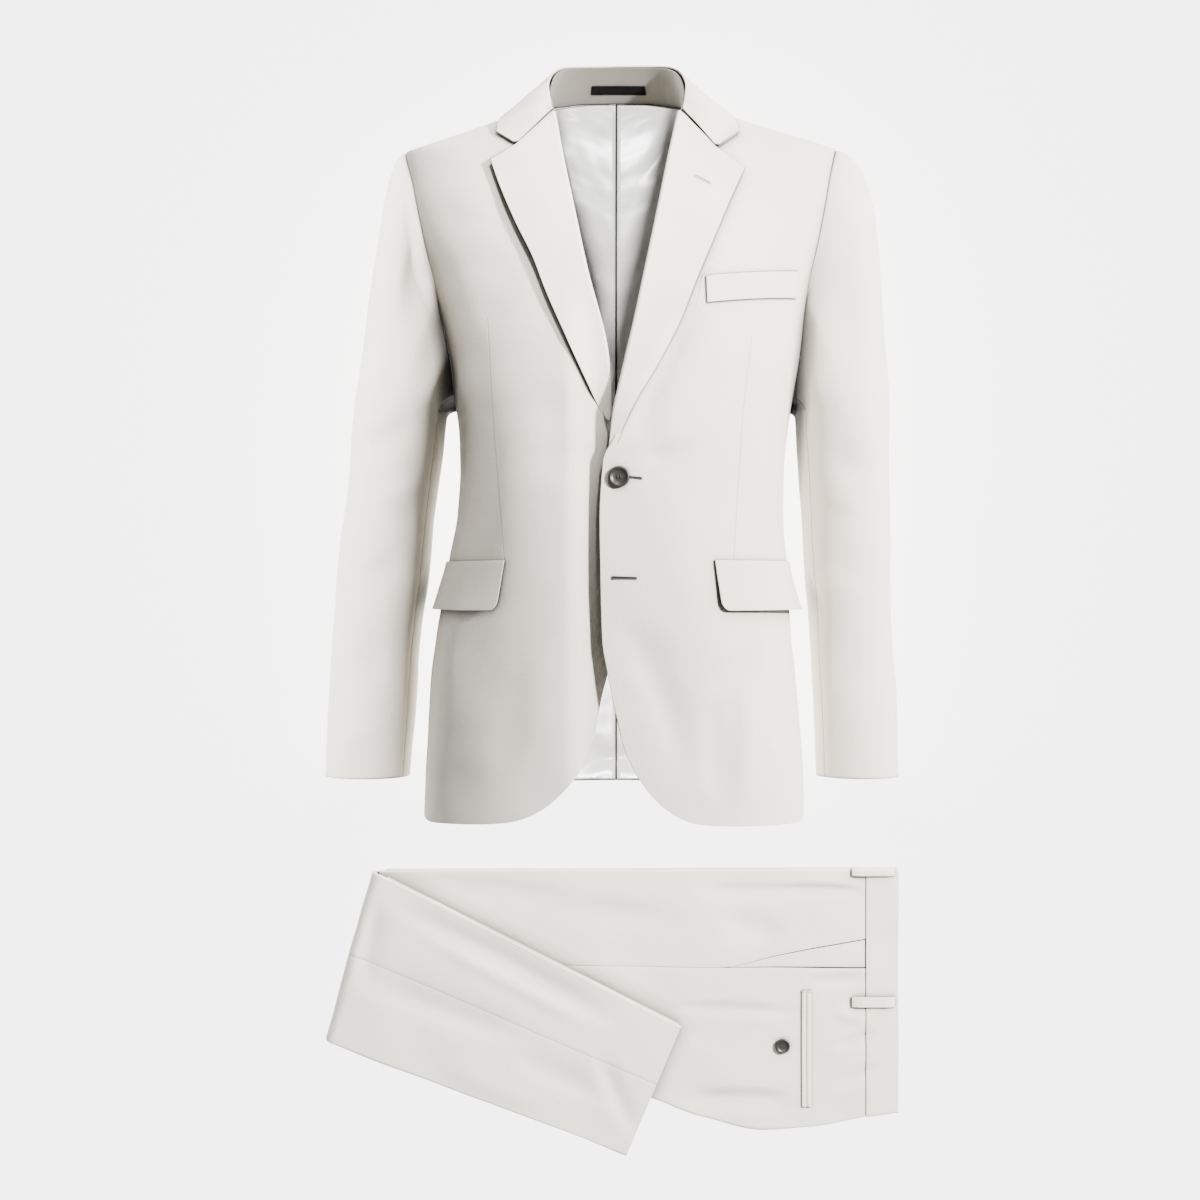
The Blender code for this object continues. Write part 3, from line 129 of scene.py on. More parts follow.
# The body: half widths to the wearer's right and left, the height of the widest point, and of front and back.
BODY = Table(
    "y right left side_z front_z back_z", (-32, 205, 199, 98, 188, -3), (20, 203, 197, 98, 192, -3),
    (104, 198, 191, 98, 198, -3), (175, 190, 184, 98, 203, -3), (242, 178, 179, 98, 206, -3),
    (290, 169, 176, 98, 208, -3), (330, 167, 176, 98, 210, -3), (371, 168, 179, 98, 213, -3),
    (418, 173, 187, 98, 216, -3), (447, 176, 194, 98, 217, -3), (494, 187, 202, 99, 215, -3),
    (530, 198, 209, 101, 210, -3), (590, 218, 223, 105, 197, 1), (633, 224, 230, 110, 182, 9),
    (674, 222, 229, 114, 165, 18), (722, 76, 76, 114, 143, 34), (745, 76, 76, 114, 137, 38),
    (760, 76, 76, 114, 137, 38),
)

# The hem round the body, in degrees from the centre front; it starts at the cutaway's corner.
HEM_BEHIND = [(70, -30), (90, -24), (125, -12), (155, -3), (180, 0)]
HEM = {
    1: Table(
        "t y", (10.2, -6), (12, -11), (14, -16), (16.2, -20), (18.9, -23.4), (22, -25.7), (28, -27.4),
        (42, -29), *HEM_BEHIND,
    ),
    -1: Table(
        "t y", (17, -6), (19.3, -11.2), (22.4, -16.8), (26, -21.4), (31, -24.6), (41, -27.4), (55, -29),
        *HEM_BEHIND,
    ),
}

# The front edge, from the cutaway corner up to the break of the lapel, then the line that the front keeps
# under the roll of the lapel, up to the neck. The wearer's left front laps over the right one.
FRONT_EDGE = {
    1: Table(
        "y x", (-6, 44), (8, 31), (27, 18), (54, 5.7), (86, -2), (131, -11), (162, -16), (241, -18),
        (281, -18.5), (340, -15), (346, -13.5), (363, -4), (388, 3), (421, 9), (477, 22), (539, 35),
        (593, 46), (646, 57), (706, 69), (722, 76),
    ),
    -1: Table(
        "y x", (-6, 70), (8, 55), (27, 39), (50, 29), (72, 22), (100, 17), (131, 9), (190, -6), (240, -14),
        (300, -20), (346, -18), (363, 8), (388, 15), (400, 16), (447, 19), (530, 38), (597, 51), (656, 63),
        (701, 70), (722, 76),
    ),
}

# The armhole's seam seen from the front: how far out it lies.
ARMHOLE_FRONT = {
    1: Table(
        "y x", (418, 187), (455, 191), (500, 196), (525, 199), (565, 205.5), (605, 213), (646, 222),
        (674, 229),
    ),
    -1: Table(
        "y x", (418, 173), (447, 174), (494, 183), (530, 191), (552, 196), (590, 203), (633, 212),
        (670, 222),
    ),
}
ARMHOLE_BACK = {
    1: Table("y x", (418, 164), (470, 168), (530, 176), (590, 193), (640, 215), (674, 229)),
    -1: Table("y x", (418, 152), (470, 158), (530, 169), (590, 187), (640, 209), (670, 222)),
}

# The back neckline from the nape to the neck point.
NECKLINE = Table("x y", (0, 745), (35, 743.5), (60, 738), (73, 730), (76, 722))
SHOULDER_SHARE = 4 / 7

# How far the back lining stops short of the back at both ends, and how much more uneven it is.
LINING_SHORT, LINING_DRIFT = {"hem": 4.0, "top": 3.0}, 1.5

# How far the right front dips under the left one, across the lap, and the height where the dip ends.
LAP_DIP, LAP_FROM_X, LAP_TO_X = 12.0, -54.0, -19.0
LAP_ENDS_Y = (440.0, 530.0)

# The sleeve below the cap: the outer and inner edge seen from the front, its middle height and half depth.
SLEEVE = {
    1: Table(
        "y outer inner mid_z half_depth", (8, 309, 219, 42, 43.5), (86, 305, 215, 46, 47.5),
        (165, 300, 210, 52, 52.5), (231, 295.5, 205, 60, 56), (296, 293, 199, 71, 59),
        (339, 291.5, 195, 79, 61), (372, 290.5, 192, 85, 62.5), (400, 289, 190, 90, 64),
    ),
    -1: Table(
        "y outer inner mid_z half_depth", (8, 318, 226, 42, 43.5), (76, 315, 220, 46, 47.5),
        (139, 310, 214.5, 51, 52), (215, 303, 205.5, 59, 55.5), (290, 294, 197, 71, 59),
        (336, 287, 189, 79, 61), (370, 283, 184, 85, 62.5), (400, 279, 180, 90, 64),
    ),
}
SLEEVE_TOP_Y, CUFF_Y = 400.0, 10.0

# The cap, between the armhole and the sleeve below, and the two seams, in degrees round from the outer side.
CAP_BULGE = {1: 28.0, -1: 12.5}
CAP_SKEW, CAP_RISE = 0.45, 9.0
FORE_SEAM_PHI, HIND_SEAM_PHI = 150.0, 315.0
UNDERARM_CLEAR, UNDERARM_PUSH = 0.4, 2.5
HELD_BY_SEAM = 22.0
CAP_EASE, CAP_EASE_WORK, CAP_CLOSING = (40.0, 110.0), 1200, 1.3

# The lapels: the roll line and the outer edge, up to the gorge, and the notch that the top edge turns at.
ROLL = {
    1: Table(
        "y x", (354, -8.8), (378, -5), (421, 4.7), (477, 17.7), (538.6, 30.7), (593, 42), (646.5, 52.6),
        (706, 65),
    ),
    -1: Table("y x", (381, 7.6), (400, 8.6), (447, 12.5), (529.6, 33), (597, 47), (656, 58.7), (706, 67)),
}
LAPEL_EDGE = {
    1: Table(
        "y x", (354, -3.5), (393.6, 14.2), (431.7, 36.9), (480.6, 62.4), (513.9, 75.2), (564, 95.9),
        (616, 117.7), (639.7, 128.3),
    ),
    -1: Table(
        "y x", (381, 9.8), (389, 16), (424.5, 33.8), (467.5, 54), (508, 71.7), (543, 84.8), (581, 103),
        (621.6, 119.7), (649.4, 129.2),
    ),
}
NOTCH = {1: (100.7, 663.0), -1: (103.2, 666.4)}
NOTCH_SHARE = 0.6
LAPEL_LIFT = {1: (3.4, 6.4), -1: (3.4, 7.5)}
LAPEL_OPENS_BY, LAPEL_LIFT_POWER = 0.62, 1.5
LAPEL_BREAK_OVER, LAPEL_BREAK_DEPTH, LAPEL_BREAK_ROLL = 46.0, 1.2, 0.2
ROLL_RADIUS, ROLL_STEPS = 3.2, 8

# The collar from the centre back to its front end: the fold line, the leaf's outer edge and the neck seam.
COLLAR = Table(
    "station fold_x fold_y fold_z edge_x edge_y edge_z seam_x seam_y seam_z",
    (0, 0, 783, 53, 0, 738, 29, 0, 746, 38.6), (1, 30, 782, 55, 40, 734, 31, 34, 745, 40.2),
    (2, 52, 779, 63, 69, 724, 41, 59, 739.6, 48), (3, 65, 770, 79, 91, 719.5, 63, 71, 734, 66),
    (4, 70, 757, 98, 107, 716, 91, 74, 728.6, 90), (5, 71.5, 742, 117, 117, 711.5, 118, 75.4, 724.6, 113),
    (6, 70, 725, 135, 123, 699, 141, 73.4, 718, 129.5), (7, 67, 708.2, 149, 124.5, 683, 157, 69, 709, 142),
)
COLLAR_END, COLLAR_NOTCH_SHARE = 6.417, 0.75
COLLAR_CENTRE = (0.0, 740.0, 110.0)
LEAF_BULGE, LEAF_SKEW, LEAF_DRIFT, STAND_DROP = 4.0, 0.7, 0.6, 2.0
GORGE_CLEAR, GORGE_RISE, LEAF_LIFT = 0.5, 1 / 3, 5.2

# The pocket flaps and the breast welt: a flap stands off more towards its lower edge and its back end.
FLAP = {
    1: {"in_top": 97.0, "in_low": 103.0, "top": 242.0, "low": 191.0, "stands_off": 13.0},
    -1: {"in_top": 115.0, "in_low": 124.0, "top": 242.0, "low": 191.0, "stands_off": 9.0},
}
FLAP_LENGTH, FLAP_WALL, FLAP_CLEAR, FLAP_CORNER = 151.0, 1.8, 1.0, 9.0
FLAP_BACK_T, FLAP_TRIES, FLAP_STAND = 125.0, 79, {"front": 0.22, "along": 1.5, "down": 1.4}
WELT_CORNERS = ((87.0, 524.0), (184.0, 538.0), (183.0, 511.0), (88.0, 497.5))

# The buttons: a profile in shares of radius and height, the holes, and the bars of thread through them.
FRONT_BUTTON_AT, HIDDEN_BUTTON_AT, BACK_BUTTON_AT = (0.8, 324.0), (2.0, 223.4), (-129.0, -196.9)
FRONT_BUTTON = {"radius": 10.6, "height": 3.4}
TROUSER_BUTTON = {"radius": 8.2, "height": 2.8}
BUTTON_CLEAR, BUTTON_SIDES, SHARP_FROM = 0.7, 72, 40.0
BUTTON_PROFILE = (
    (0, 0.56), (0.3, 0.56), (0.56, 0.6), (0.66, 0.72), (0.74, 0.9), (0.8, 0.98), (0.86, 1), (0.93, 0.94),
    (0.98, 0.78), (1, 0.62), (0.98, 0.4), (0.92, 0.25), (0.6, 0), (0, 0),
)
HOLES = {"count": 4, "first": 45.0, "out": 0.2, "radius": 0.075, "sides": 20}
STITCH, STITCH_RISE, STITCH_RADIUS = (HOLES["out"] * math.cos(0.785), 0.15, 0.58), 0.5, 0.055
SLOPE_OVER = 4.0

# Buttonholes, each with its ends and how much wider its start is, and the pocket's tacks, with their threads.
# The buttonhole's ring and its thread, and how high the dark sheet of painted shade inside it lies.
BUTTONHOLE = {"half_width": 0.9, "thread": 0.55, "stands": 0.5, "slit": 0.05}
BUTTONHOLE_TURNS = ((50, 310, 14), (-80, 80, 8))
TACK_THICK, TACK_STANDS, TACK_OUT = 0.7, 0.25, 0.6
BUTTONHOLES = (
    ("front_buttonhole", (2.0, 324.6), (22.6, 322.4), 0.0),
    ("lower_buttonhole", (-5.0, 223.6), (17.5, 223.2), 0.6),
    ("lapel_buttonhole", (78.6, 629.5), (92.4, 622.0), 0.0),
)

# The neck tape, between two of the collar's stations, and across the stand.
LABEL_STATIONS, LABEL_SHARES, LABEL_THICK = (-0.83, 0.97), (0.5, 0.74), 0.6

# The trousers' upper leg: its two creases from the fold to the waist. Each leg is a loop of cloth 6 mm thick.
LEG = Table(
    "x front back", (-640, -2, -188), (-443, -1, -221), (-278, -1, -255), (-220, -0.5, -276),
    (-148, 0, -290), (-87, 0, -287), (-35, 0, -277), (0, 0, -272.6),
)
LEG_TOP, TROUSER_WALL = 12.0, 1.6
CREASE_RADIUS, CREASE_TURN, CREASE_STEPS = 2.9, 168.0, 10
SIDE_SEAM = Table("x y", (-640, -106), (-330, -108), (-200, -110), (-140, -110), (-36, -111), (0, -111))
FRONT_PANEL_EDGE = Table(
    "x y", (-640, -106), (-330, -108), (-200, -110), (-192.7, -109.6), (-133, -96), (-97, -88.8),
    (-54, -81.3), (-36, -78.2),
)
POCKET_FROM_X, FACING_TOP, FACING_WALL = -188.0, 11.5, 1.0
FACING_GAP_SHARE, FACING_GAP = 0.04, 0.9
WAIST_SEAM_X = -36.4
UPPER_FROM = 0.015

# The folded leg: its corners at the fold and at the hem, and the bend that both legs make there.
FOLD_TOP, FOLD_LOW = (-585.0, -2.0), (-638.0, -190.0)
HEM_TOP, HEM_LOW = (-242.0, -172.0), (-303.0, -315.5)
FOLD_LIFT, BEND_RADIUS = 12.4, 12.2
BEND_OUT = np.array([-0.9624, 0.2716])
BEND_END, BEND_STEPS = -78.0, 18
FOLD_SEAM_SHARE, HEM_SEAM_SHARE = 0.485, 0.452

# The hidden layers: how far in from the crease each height lies, their sections, and their nose in the bend.
LAYER_EDGE = Table(
    "inset height", (4, 0), (0.9, 0.085), (0, 0.29), (0.9, 0.5), (2.6, 0.57), (5.4, 0.61), (3.5, 0.7),
    (3.2, 0.81), (3.7, 0.93), (5.6, 1),
)
LAYER_ROOM = {"inset": 15.0, "height": 0.25}
NOSE = Table("distance tuck", (8.6, 7), (6, 5), (0.4, 4))
LAYER_ENDS, FOLDED_LAYER_ENDS = (0.026, 0.996, 70), (0.02, 0.994, 50)
WAIST_LAYERS = Table("x low tuck", (-37.5, 2.9, 3.6), (-3, 2.9, 3.6))

# The waistband, its loops and the back pocket.
BAND_TOP, BAND_WALL, BAND_RADIUS, BAND_TURN, BAND_WIDTH = 12.9, 2.0, 3.2, 165.0, 270.0
LOOP_FROM_X, LOOP_TO_X, LOOP_RISE, LOOP_WALL, LOOP_RAMP = -52.0, -4.0, 1.6, 1.4, 6.0
LOOP_WIDTH, LOOP_RADIUS, LOOP_TURN, LOOP_AT_X, LOOP_TUCK = 10.0, 5.0, (90, 10, 6), -20.0, 2.0
SIDE_LOOP_Y = (-153.5, -142.0)
BACK_WELT_X, BACK_WELT_Y, WELT_WIDTH, WELT_WALL = -107.6, (-264.4, -135.6), 5.1, 1.1
WELT_ROUND, WELT_ROUND_POWER = 0.5, 0.7

# Lines in plan that the cloth sinks into and that are painted darker as shade, and how strongly each shows.
# Painted shade in the dart seams, where the cloth also sinks.
DARTS = {
    1: ((0.7, (134.5, 467.0), (126.0, 394.0), (122.4, 333.0), (117.0, 245.0)),),
    -1: ((0.8, (-131.5, 485.0), (-126.0, 380.0), (-114.0, 232.0)),),
}
# Painted close shadow beside the lapel's outer edge: its strength on each side, and how far out it lies.
LAPEL_LINE, LAPEL_LINE_OUT = {1: 1.0, -1: 0.6}, 1.1
LAPEL_LINE_FROM, LAPEL_LINE_PAST, LAPEL_LINE_STEPS = 4, 1, 23
# Painted close shadow round the breast welt.
WELT_LINE, WELT_LINE_OUT = 1.0, 0.7
# Painted shade along the lining's centre back seam.
CENTRE_LINE = ((1.0, (0.0, 800.0), (0.0, -40.0)),)
FAR_OFF, LINE_FADE, LINE_REACH = 50.0, 4.0, 12.0
DITCH_DEPTH, DITCH_WIDTH = 0.3, 1.6

# Soft folds: where each starts and ends in plan, its half width, its height or depth, and its bow.
FOLD_COLUMNS = "x0 y0 x1 y1 width height bow"
FOLD_FADE, FOLD_SKEW = 0.38, 0.22
FRONT_FOLDS = Table(
    FOLD_COLUMNS, (84, 508, 9, 352, 13, -7.0, 0), (18, 336, 84, 368, 7, -2.4, 3),
    (30, 352, 120, 400, 22, 3.0, 6), (50, 296, 165, 318, 22, -3.0, 5), (133, 136, 123, -24, 12, 3.2, -3),
    (100, 110, 106, -20, 14, -3.0, 4), (-6, 200, 72, 10, 18, -5.0, -12), (80, 100, 152, 156, 11, -3.0, 4),
    (168, 180, 172, 30, 11, -4.0, 2), (140, 520, 196, 610, 16, -2.0, 4), (-152, 440, -154, 70, 34, -9.0, 4),
    (-160, 120, -166, -30, 24, -3.0, 4), (-74, 430, -60, 300, 26, -2.6, -4),
    (-70, 200, -96, -10, 26, 2.6, -6), (-150, 470, -110, 560, 24, -2.0, 6),
    (-170, 590, -120, 640, 22, 1.6, 6),
)
BACK_FOLDS = Table(
    FOLD_COLUMNS, (-120, 300, 130, 320, 24, -2.8, 8), (-100, 120, -60, 20, 26, -2.4, 5),
    (80, 160, 110, 20, 24, -2.6, 6), (-150, 480, -60, 430, 22, -2.2, 6), (150, 470, 70, 430, 22, -2.2, 6),
    (-20, 640, 60, 610, 26, 1.8, 6),
)
SLEEVE_FOLDS = Table(
    FOLD_COLUMNS, (215, 360, 275, 330, 17, -3.2, 6), (205, 320, 270, 300, 14, 2.4, 5),
    (215, 250, 285, 225, 18, -2.8, 7), (240, 560, 250, 430, 16, -2.2, 8), (225, 140, 290, 115, 20, -2.0, 5),
    (-204, 392, -276, 356, 16, -3.2, -7), (-200, 330, -262, 305, 15, 2.4, -6),
    (-222, 250, -290, 218, 18, -2.8, -8), (-199, 670, -213, 480, 20, -8.5, -4),
    (-240, 150, -300, 120, 20, -2.2, -6), (-250, 60, -306, 46, 12, 1.4, 4),
)
UNDER_SLEEVE_FOLDS = Table(
    FOLD_COLUMNS, (210, 350, 280, 310, 18, -2.6, 6), (215, 240, 290, 215, 18, -2.4, 6),
    (-205, 345, -275, 318, 18, -2.8, -6), (-220, 235, -295, 205, 18, -2.2, -6),
)
LEG_FOLDS = Table(
    FOLD_COLUMNS, (-30, -26, -150, -24, 5, -3.6, 3), (-110, -26, -230, -27, 8, -2.4, 3),
    (-100, -161, -262, -154, 5, -3.4, 2), (-104, -170, -240, -166, 8, 1.8, 2),
    (-108, -257, -250, -258, 9, -5.0, 3), (-24, -121, -110, -125, 4, -3.0, 1),
    (-20, -180, -74, -200, 5, -2.6, 1), (-18, -216, -74, -246, 6, -2.4, 2),
    (-78, -160, -24, -168, 6, 2.0, 1), (-120, -74, -200, -62, 14, -2.4, 3),
    (-230, -60, -400, -44, 14, -2.6, 4), (-330, -40, -580, -14, 14, -2.6, 4),
    (-190, -200, -350, -216, 16, 2.2, 5),
)
FOLDED_FOLDS = Table(
    FOLD_COLUMNS, (-580, -26, -290, -180, 13, -6.4, 0), (-540, -62, -330, -176, 12, 2.2, 0),
    (-574, -18, -594, -140, 11, -3.6, 3), (-606, -116, -390, -190, 17, -5.2, 4),
    (-450, -186, -300, -262, 14, -2.6, 5), (-336, -190, -286, -300, 11, -3.4, 4),
    (-520, -206, -380, -260, 16, 2.4, 4),
)
LINING_FOLDS = Table(
    FOLD_COLUMNS, (-70, 740, -20, 600, 18, 3.0, 6), (-60, 640, -8, 540, 15, 6.0, -5),
    (-44, 600, -18, 470, 11, 5.0, 6), (-20, 560, -6, 430, 8, 4.0, 3), (74, 740, 10, 640, 11, 5.0, -5),
    (66, 690, 4, 610, 12, -4.0, 7), (58, 650, 6, 570, 14, 6.0, -6), (40, 590, 8, 480, 10, 4.6, 5),
    (24, 530, 6, 420, 8, 4.0, 4), (-70, 52, 50, 12, 10, 4.6, 5), (-60, 6, 84, 44, 8, 4.2, -5),
)

# Unevenness that no cloth is without: directions, wave lengths, phases and heights.
DRIFT = Table(
    "x y z wave phase height", (0.95, 0.30, 0.1, 128, 0.4, 0.45), (-0.35, 0.92, 0.2, 171, 2.1, 0.55),
    (0.62, -0.75, 0.2, 83, 4.4, 0.28), (0.30, 0.55, 0.8, 97, 1.3, 0.32), (-0.85, -0.45, 0.3, 61, 5.2, 0.16),
    (0.10, 0.98, -0.2, 47, 3.3, 0.12),
)


# Colours, in linear light.
SUITING_DARK, SUITING_LIGHT = (0.62, 0.57, 0.48), (0.79, 0.74, 0.635)
# Painted shade in the cloth's colour: the near-black along the drawn lines, and the deeper one in crevices.
SUITING_SHADE, SUITING_CREVICE_SHADE = (0.16, 0.14, 0.12), (0.045, 0.04, 0.035)
# The satin's own tones, and the painted shade in its centre back seam.
SATIN_DARK, SATIN_LIGHT, SATIN_SHADE = (0.50, 0.49, 0.47), (0.68, 0.67, 0.65), (0.02, 0.018, 0.016)
HORN_DARK, HORN_LIGHT = (0.006, 0.005, 0.0045), (0.035, 0.03, 0.026)
TAPE_DARK, TAPE_LIGHT = (0.005, 0.0048, 0.0045), (0.014, 0.0135, 0.013)
THREAD_DARK, THREAD_LIGHT = (0.50, 0.48, 0.44), (0.68, 0.66, 0.62)
FLOOR_COLOUR = (0.84, 0.84, 0.84)

# The weave's threads and ribs, and how wide a line of painted shade shows: pitches and widths in millimetres.
THREAD, TAPE_RIB, GROOVE_WIDTH, SATIN_SEAM_SHADE_WIDTH = 0.55, 0.35, 0.75, 1.1
# How dark the painted shade along a line is, and how softly its edge fades.
LINE_SHADE_TONE, GROOVE_SOFTNESS = 0.75, 0.4

# How far a crevice's shade reaches, in metres, and how soon it darkens.
CREVICE_REACH, CREVICE_POWER = 0.022, 1.9

# Scales of the noise in each cloth, and how much each part tells in its tone and in its height.
YARN_STRETCH = ((1.1, 0.045), (0.05, 1.2))
FLOAT_STRETCH, TINT_STRETCH, STREAK_STRETCH = (3.0, 0.25), (0.15, 1.5), (160.0, 520.0, 300.0)
FUZZ_SCALE, CLOUD_SCALE, CREASE_SCALE, TWIST_SCALE = 2.6, 0.012, 0.035, 2200.0
SUITING_TONE = {"cloud": 0.3, "fuzz": 0.35, "yarns": 0.42}
SUITING_HEIGHT = {"yarns": 0.16, "weave": 0.05, "fuzz": 0.10, "groove": -0.5}
SATIN_HEIGHT = {"creases": 2.2, "floats": 0.02}


def spread(start, stop, count):
    return np.linspace(start, stop, count + 1)


def blend(first, last, share):
    """The value this share of the way from the first to the last."""
    return first + (last - first) * share


def fine(length):
    """Shares of a length about a step apart, and closer at both ends, where an edge rounds over."""
    rim = np.array(RIM)
    count = max(2, round((length - 2 * rim[-1]) / STEP))
    middle = spread(rim[-1], length - rim[-1], count)
    return np.concatenate([rim[:-1], middle, length - rim[-2::-1]]) / length


def half_width(x, y):
    """The body's half width on the side of x; the shoulder line is straight from its tip to the neck."""
    widths = {}
    for side, name in ((1, "left"), (-1, "right")):
        share = np.clip((y - TIP_Y[side]) / (NECK_Y - TIP_Y[side]), 0, 1)
        shoulder = blend(TIP_X[side], NECK_X, share)
        widths[side] = np.where(y > TIP_Y[side], shoulder, BODY.at(name, y))
    return np.where(x < 0, widths[-1], widths[1])


def lap_dip(x, y):
    """How far the wearer's right front drops, near the centre, to pass under the left one."""
    across = eased_in(x - LAP_FROM_X, LAP_TO_X - LAP_FROM_X)
    return LAP_DIP * across * eased_in(LAP_ENDS_Y[1] - y, LAP_ENDS_Y[1] - LAP_ENDS_Y[0])


def body_height(x, y, face, powers):
    """The height of the body's front or back over a point in plan."""
    across, up = powers
    share = np.clip(1 - np.clip(np.abs(x) / half_width(x, y), 0, 1) ** across, 0, 1)
    return blend(BODY.at("side_z", y), BODY.at(face, y), share ** (1 / up))


def front_height(x, y, side):
    z = body_height(x, y, "front_z", FRONT_POWERS)
    return z - lap_dip(x, y) if side < 0 else z


def back_height(x, y):
    return np.maximum(body_height(x, y, "back_z", BACK_POWERS), 0)


def angle_of(x, y, side):
    """Degrees round the body, from the centre front, of a point x across the front."""
    share = side * x / half_width(x, y)
    return np.degrees(np.sign(share) * np.arcsin(np.abs(share) ** (FRONT_POWERS[0] / 2)))


def round_body(t, y, side):
    """The body's outer surface at t degrees from the centre front, 180 being the centre back."""
    sine, cosine = np.sin(np.radians(t)), np.cos(np.radians(t))
    front_x = side * np.sign(sine) * np.abs(sine) ** (2 / FRONT_POWERS[0])
    back_x = side * np.abs(sine) ** (2 / BACK_POWERS[0])
    x = np.where(t <= 90, front_x, back_x)
    x = x * half_width(x, y)
    middle = BODY.at("side_z", y)
    front_z = blend(middle, BODY.at("front_z", y), np.abs(cosine) ** (2 / FRONT_POWERS[1]))
    back_z = blend(middle, BODY.at("back_z", y), np.abs(cosine) ** (2 / BACK_POWERS[1]))
    z = np.where(t <= 90, front_z, np.maximum(back_z, 0))
    if side < 0:
        z = z - np.where(t <= 90, lap_dip(x, y), 0)
    return np.stack([x, y, z], axis=-1)


def lengths(line):
    """How far along a line each of its points lies."""
    return np.concatenate([[0], np.cumsum(np.linalg.norm(np.diff(line, axis=0), axis=1))])


def shares(line):
    """The same as a share of the line's length."""
    reach = lengths(line)
    return reach / reach[-1]


def coons(bottom, top, first, last):
    """A grid between four plane edges: rows run from bottom to top, columns from first to last."""
    u = shares(bottom)[None, :, None]
    v = shares(first)[:, None, None]
    corners = (
        (1 - u) * (1 - v) * bottom[0] + u * (1 - v) * bottom[-1] + (1 - u) * v * top[0] + u * v * top[-1]
    )
    return (1 - v) * bottom + v * top + (1 - u) * first[:, None] + u * last[:, None] - corners


def shoulder_line(side, at):
    """The shoulder seam, straight from its tip to the neck."""
    at = np.asarray(at)
    return np.stack([side * blend(TIP_X[side], NECK_X, at), blend(TIP_Y[side], NECK_Y, at)], axis=-1)


def edge_curve(table, ys, side):
    return np.stack([side * table.at("x", ys), ys], axis=-1)


def normals_of(grid, closed=False):
    """Unit normals of a grid of points, right-handed in (column, row) order."""
    if closed:
        across = np.roll(grid, -1, axis=1) - np.roll(grid, 1, axis=1)
    else:
        across = np.gradient(grid, axis=1)
    up = np.gradient(grid, axis=0)
    normal = np.cross(across, up)
    length = np.linalg.norm(normal, axis=-1, keepdims=True)
    return normal / np.maximum(length, 1e-9)


def outward(normals, grid, centre):
    """Turns a grid's normals to point away from a centre."""
    return normals if ((grid - centre) * normals).sum() > 0 else -normals


def upward(grid):
    """Normals that all point up."""
    return np.zeros_like(grid) + (0, 0, 1.0)


def facing_up(normals, sign=1):
    """Turns a grid's normals to point up, or down where the sign is negative."""
    return normals if sign * normals[..., 2].sum() > 0 else -normals


def folds(x, y, table):
    """How far the soft folds of a table lift the cloth at points in plan."""
    lift = np.zeros(np.shape(x))
    for x0, y0, x1, y1, width, height, bow in table.rows:
        way = np.array([x1 - x0, y1 - y0])
        length = np.linalg.norm(way)
        way /= length
        run = ((x - x0) * way[0] + (y - y0) * way[1]) / length
        off = (x - x0) * way[1] - (y - y0) * way[0]
        inside = np.clip(run, 0, 1)
        off = off - bow * 4 * inside * (1 - inside)
        fade = eased_in(np.minimum(run, 1 - run), FOLD_FADE)
        skewed = width * (1 + FOLD_SKEW * np.tanh(-off / width))
        lift += height * fade * np.exp(-((off / skewed) ** 2))
    return lift


def drift(points):
    """The cloth's slight unevenness at some points."""
    total = np.zeros(points.shape[:-1])
    for x, y, z, wave, phase, height in DRIFT.rows:
        total += height * np.sin((points @ np.array([x, y, z])) * 2 * math.pi / wave + phase)
    return total


def eased_in(distance, over):
    """From 0 at an edge to 1 this far from it."""
    share = np.clip(distance / over, 0, 1)
    return share * share * (3 - 2 * share)


def ripple(points, normals, top, under, free=1.0):
    """Folds the cloth by one table where it faces up and another where it faces down, never below the table.

    free is 0 where a seam holds the cloth in its place, and 1 away from it."""
    up = np.clip(normals[..., 2], 0, 1)
    down = np.clip(-normals[..., 2], 0, 1)
    x, y = points[..., 0], points[..., 1]
    out = (folds(x, y, top) * up + folds(x, y, under) * down + drift(points)) * free
    moved = points + normals * out[..., None]
    moved[..., 2] = np.maximum(moved[..., 2], 0)
    return moved


def edge_distances(grid):
    """How far each point of a grid lies from its bottom, top, first and last edge."""
    up = np.cumsum(np.linalg.norm(np.diff(grid, axis=0), axis=-1), axis=0)
    up = np.concatenate([np.zeros((1, grid.shape[1])), up])
    over = np.cumsum(np.linalg.norm(np.diff(grid, axis=1), axis=-1), axis=1)
    over = np.concatenate([np.zeros((grid.shape[0], 1)), over], axis=1)
    return {"bottom": up, "top": up[-1] - up, "first": over, "last": over[:, -1:] - over}


def sunk(grid, normals, seams):
    """Lets the cloth sink into the ditch beside its sewn edges, and draws those in by half a seam."""
    distance = edge_distances(grid)
    grid = grid.copy()
    for name in seams:
        grid -= normals * (DITCH_DEPTH * np.exp(-((distance[name] / DITCH_WIDTH) ** 2)))[..., None]
    edges = {
        "bottom": (np.s_[0], np.s_[1]), "top": (np.s_[-1], np.s_[-2]),
        "first": (np.s_[:, 0], np.s_[:, 1]), "last": (np.s_[:, -1], np.s_[:, -2]),
    }
    for name, (edge, inner) in edges.items():
        if name in seams:
            step = grid[inner] - grid[edge]
            grid[edge] += step * (SEAM / 2) / np.maximum(np.linalg.norm(step, axis=-1, keepdims=True), 1e-9)
    return grid


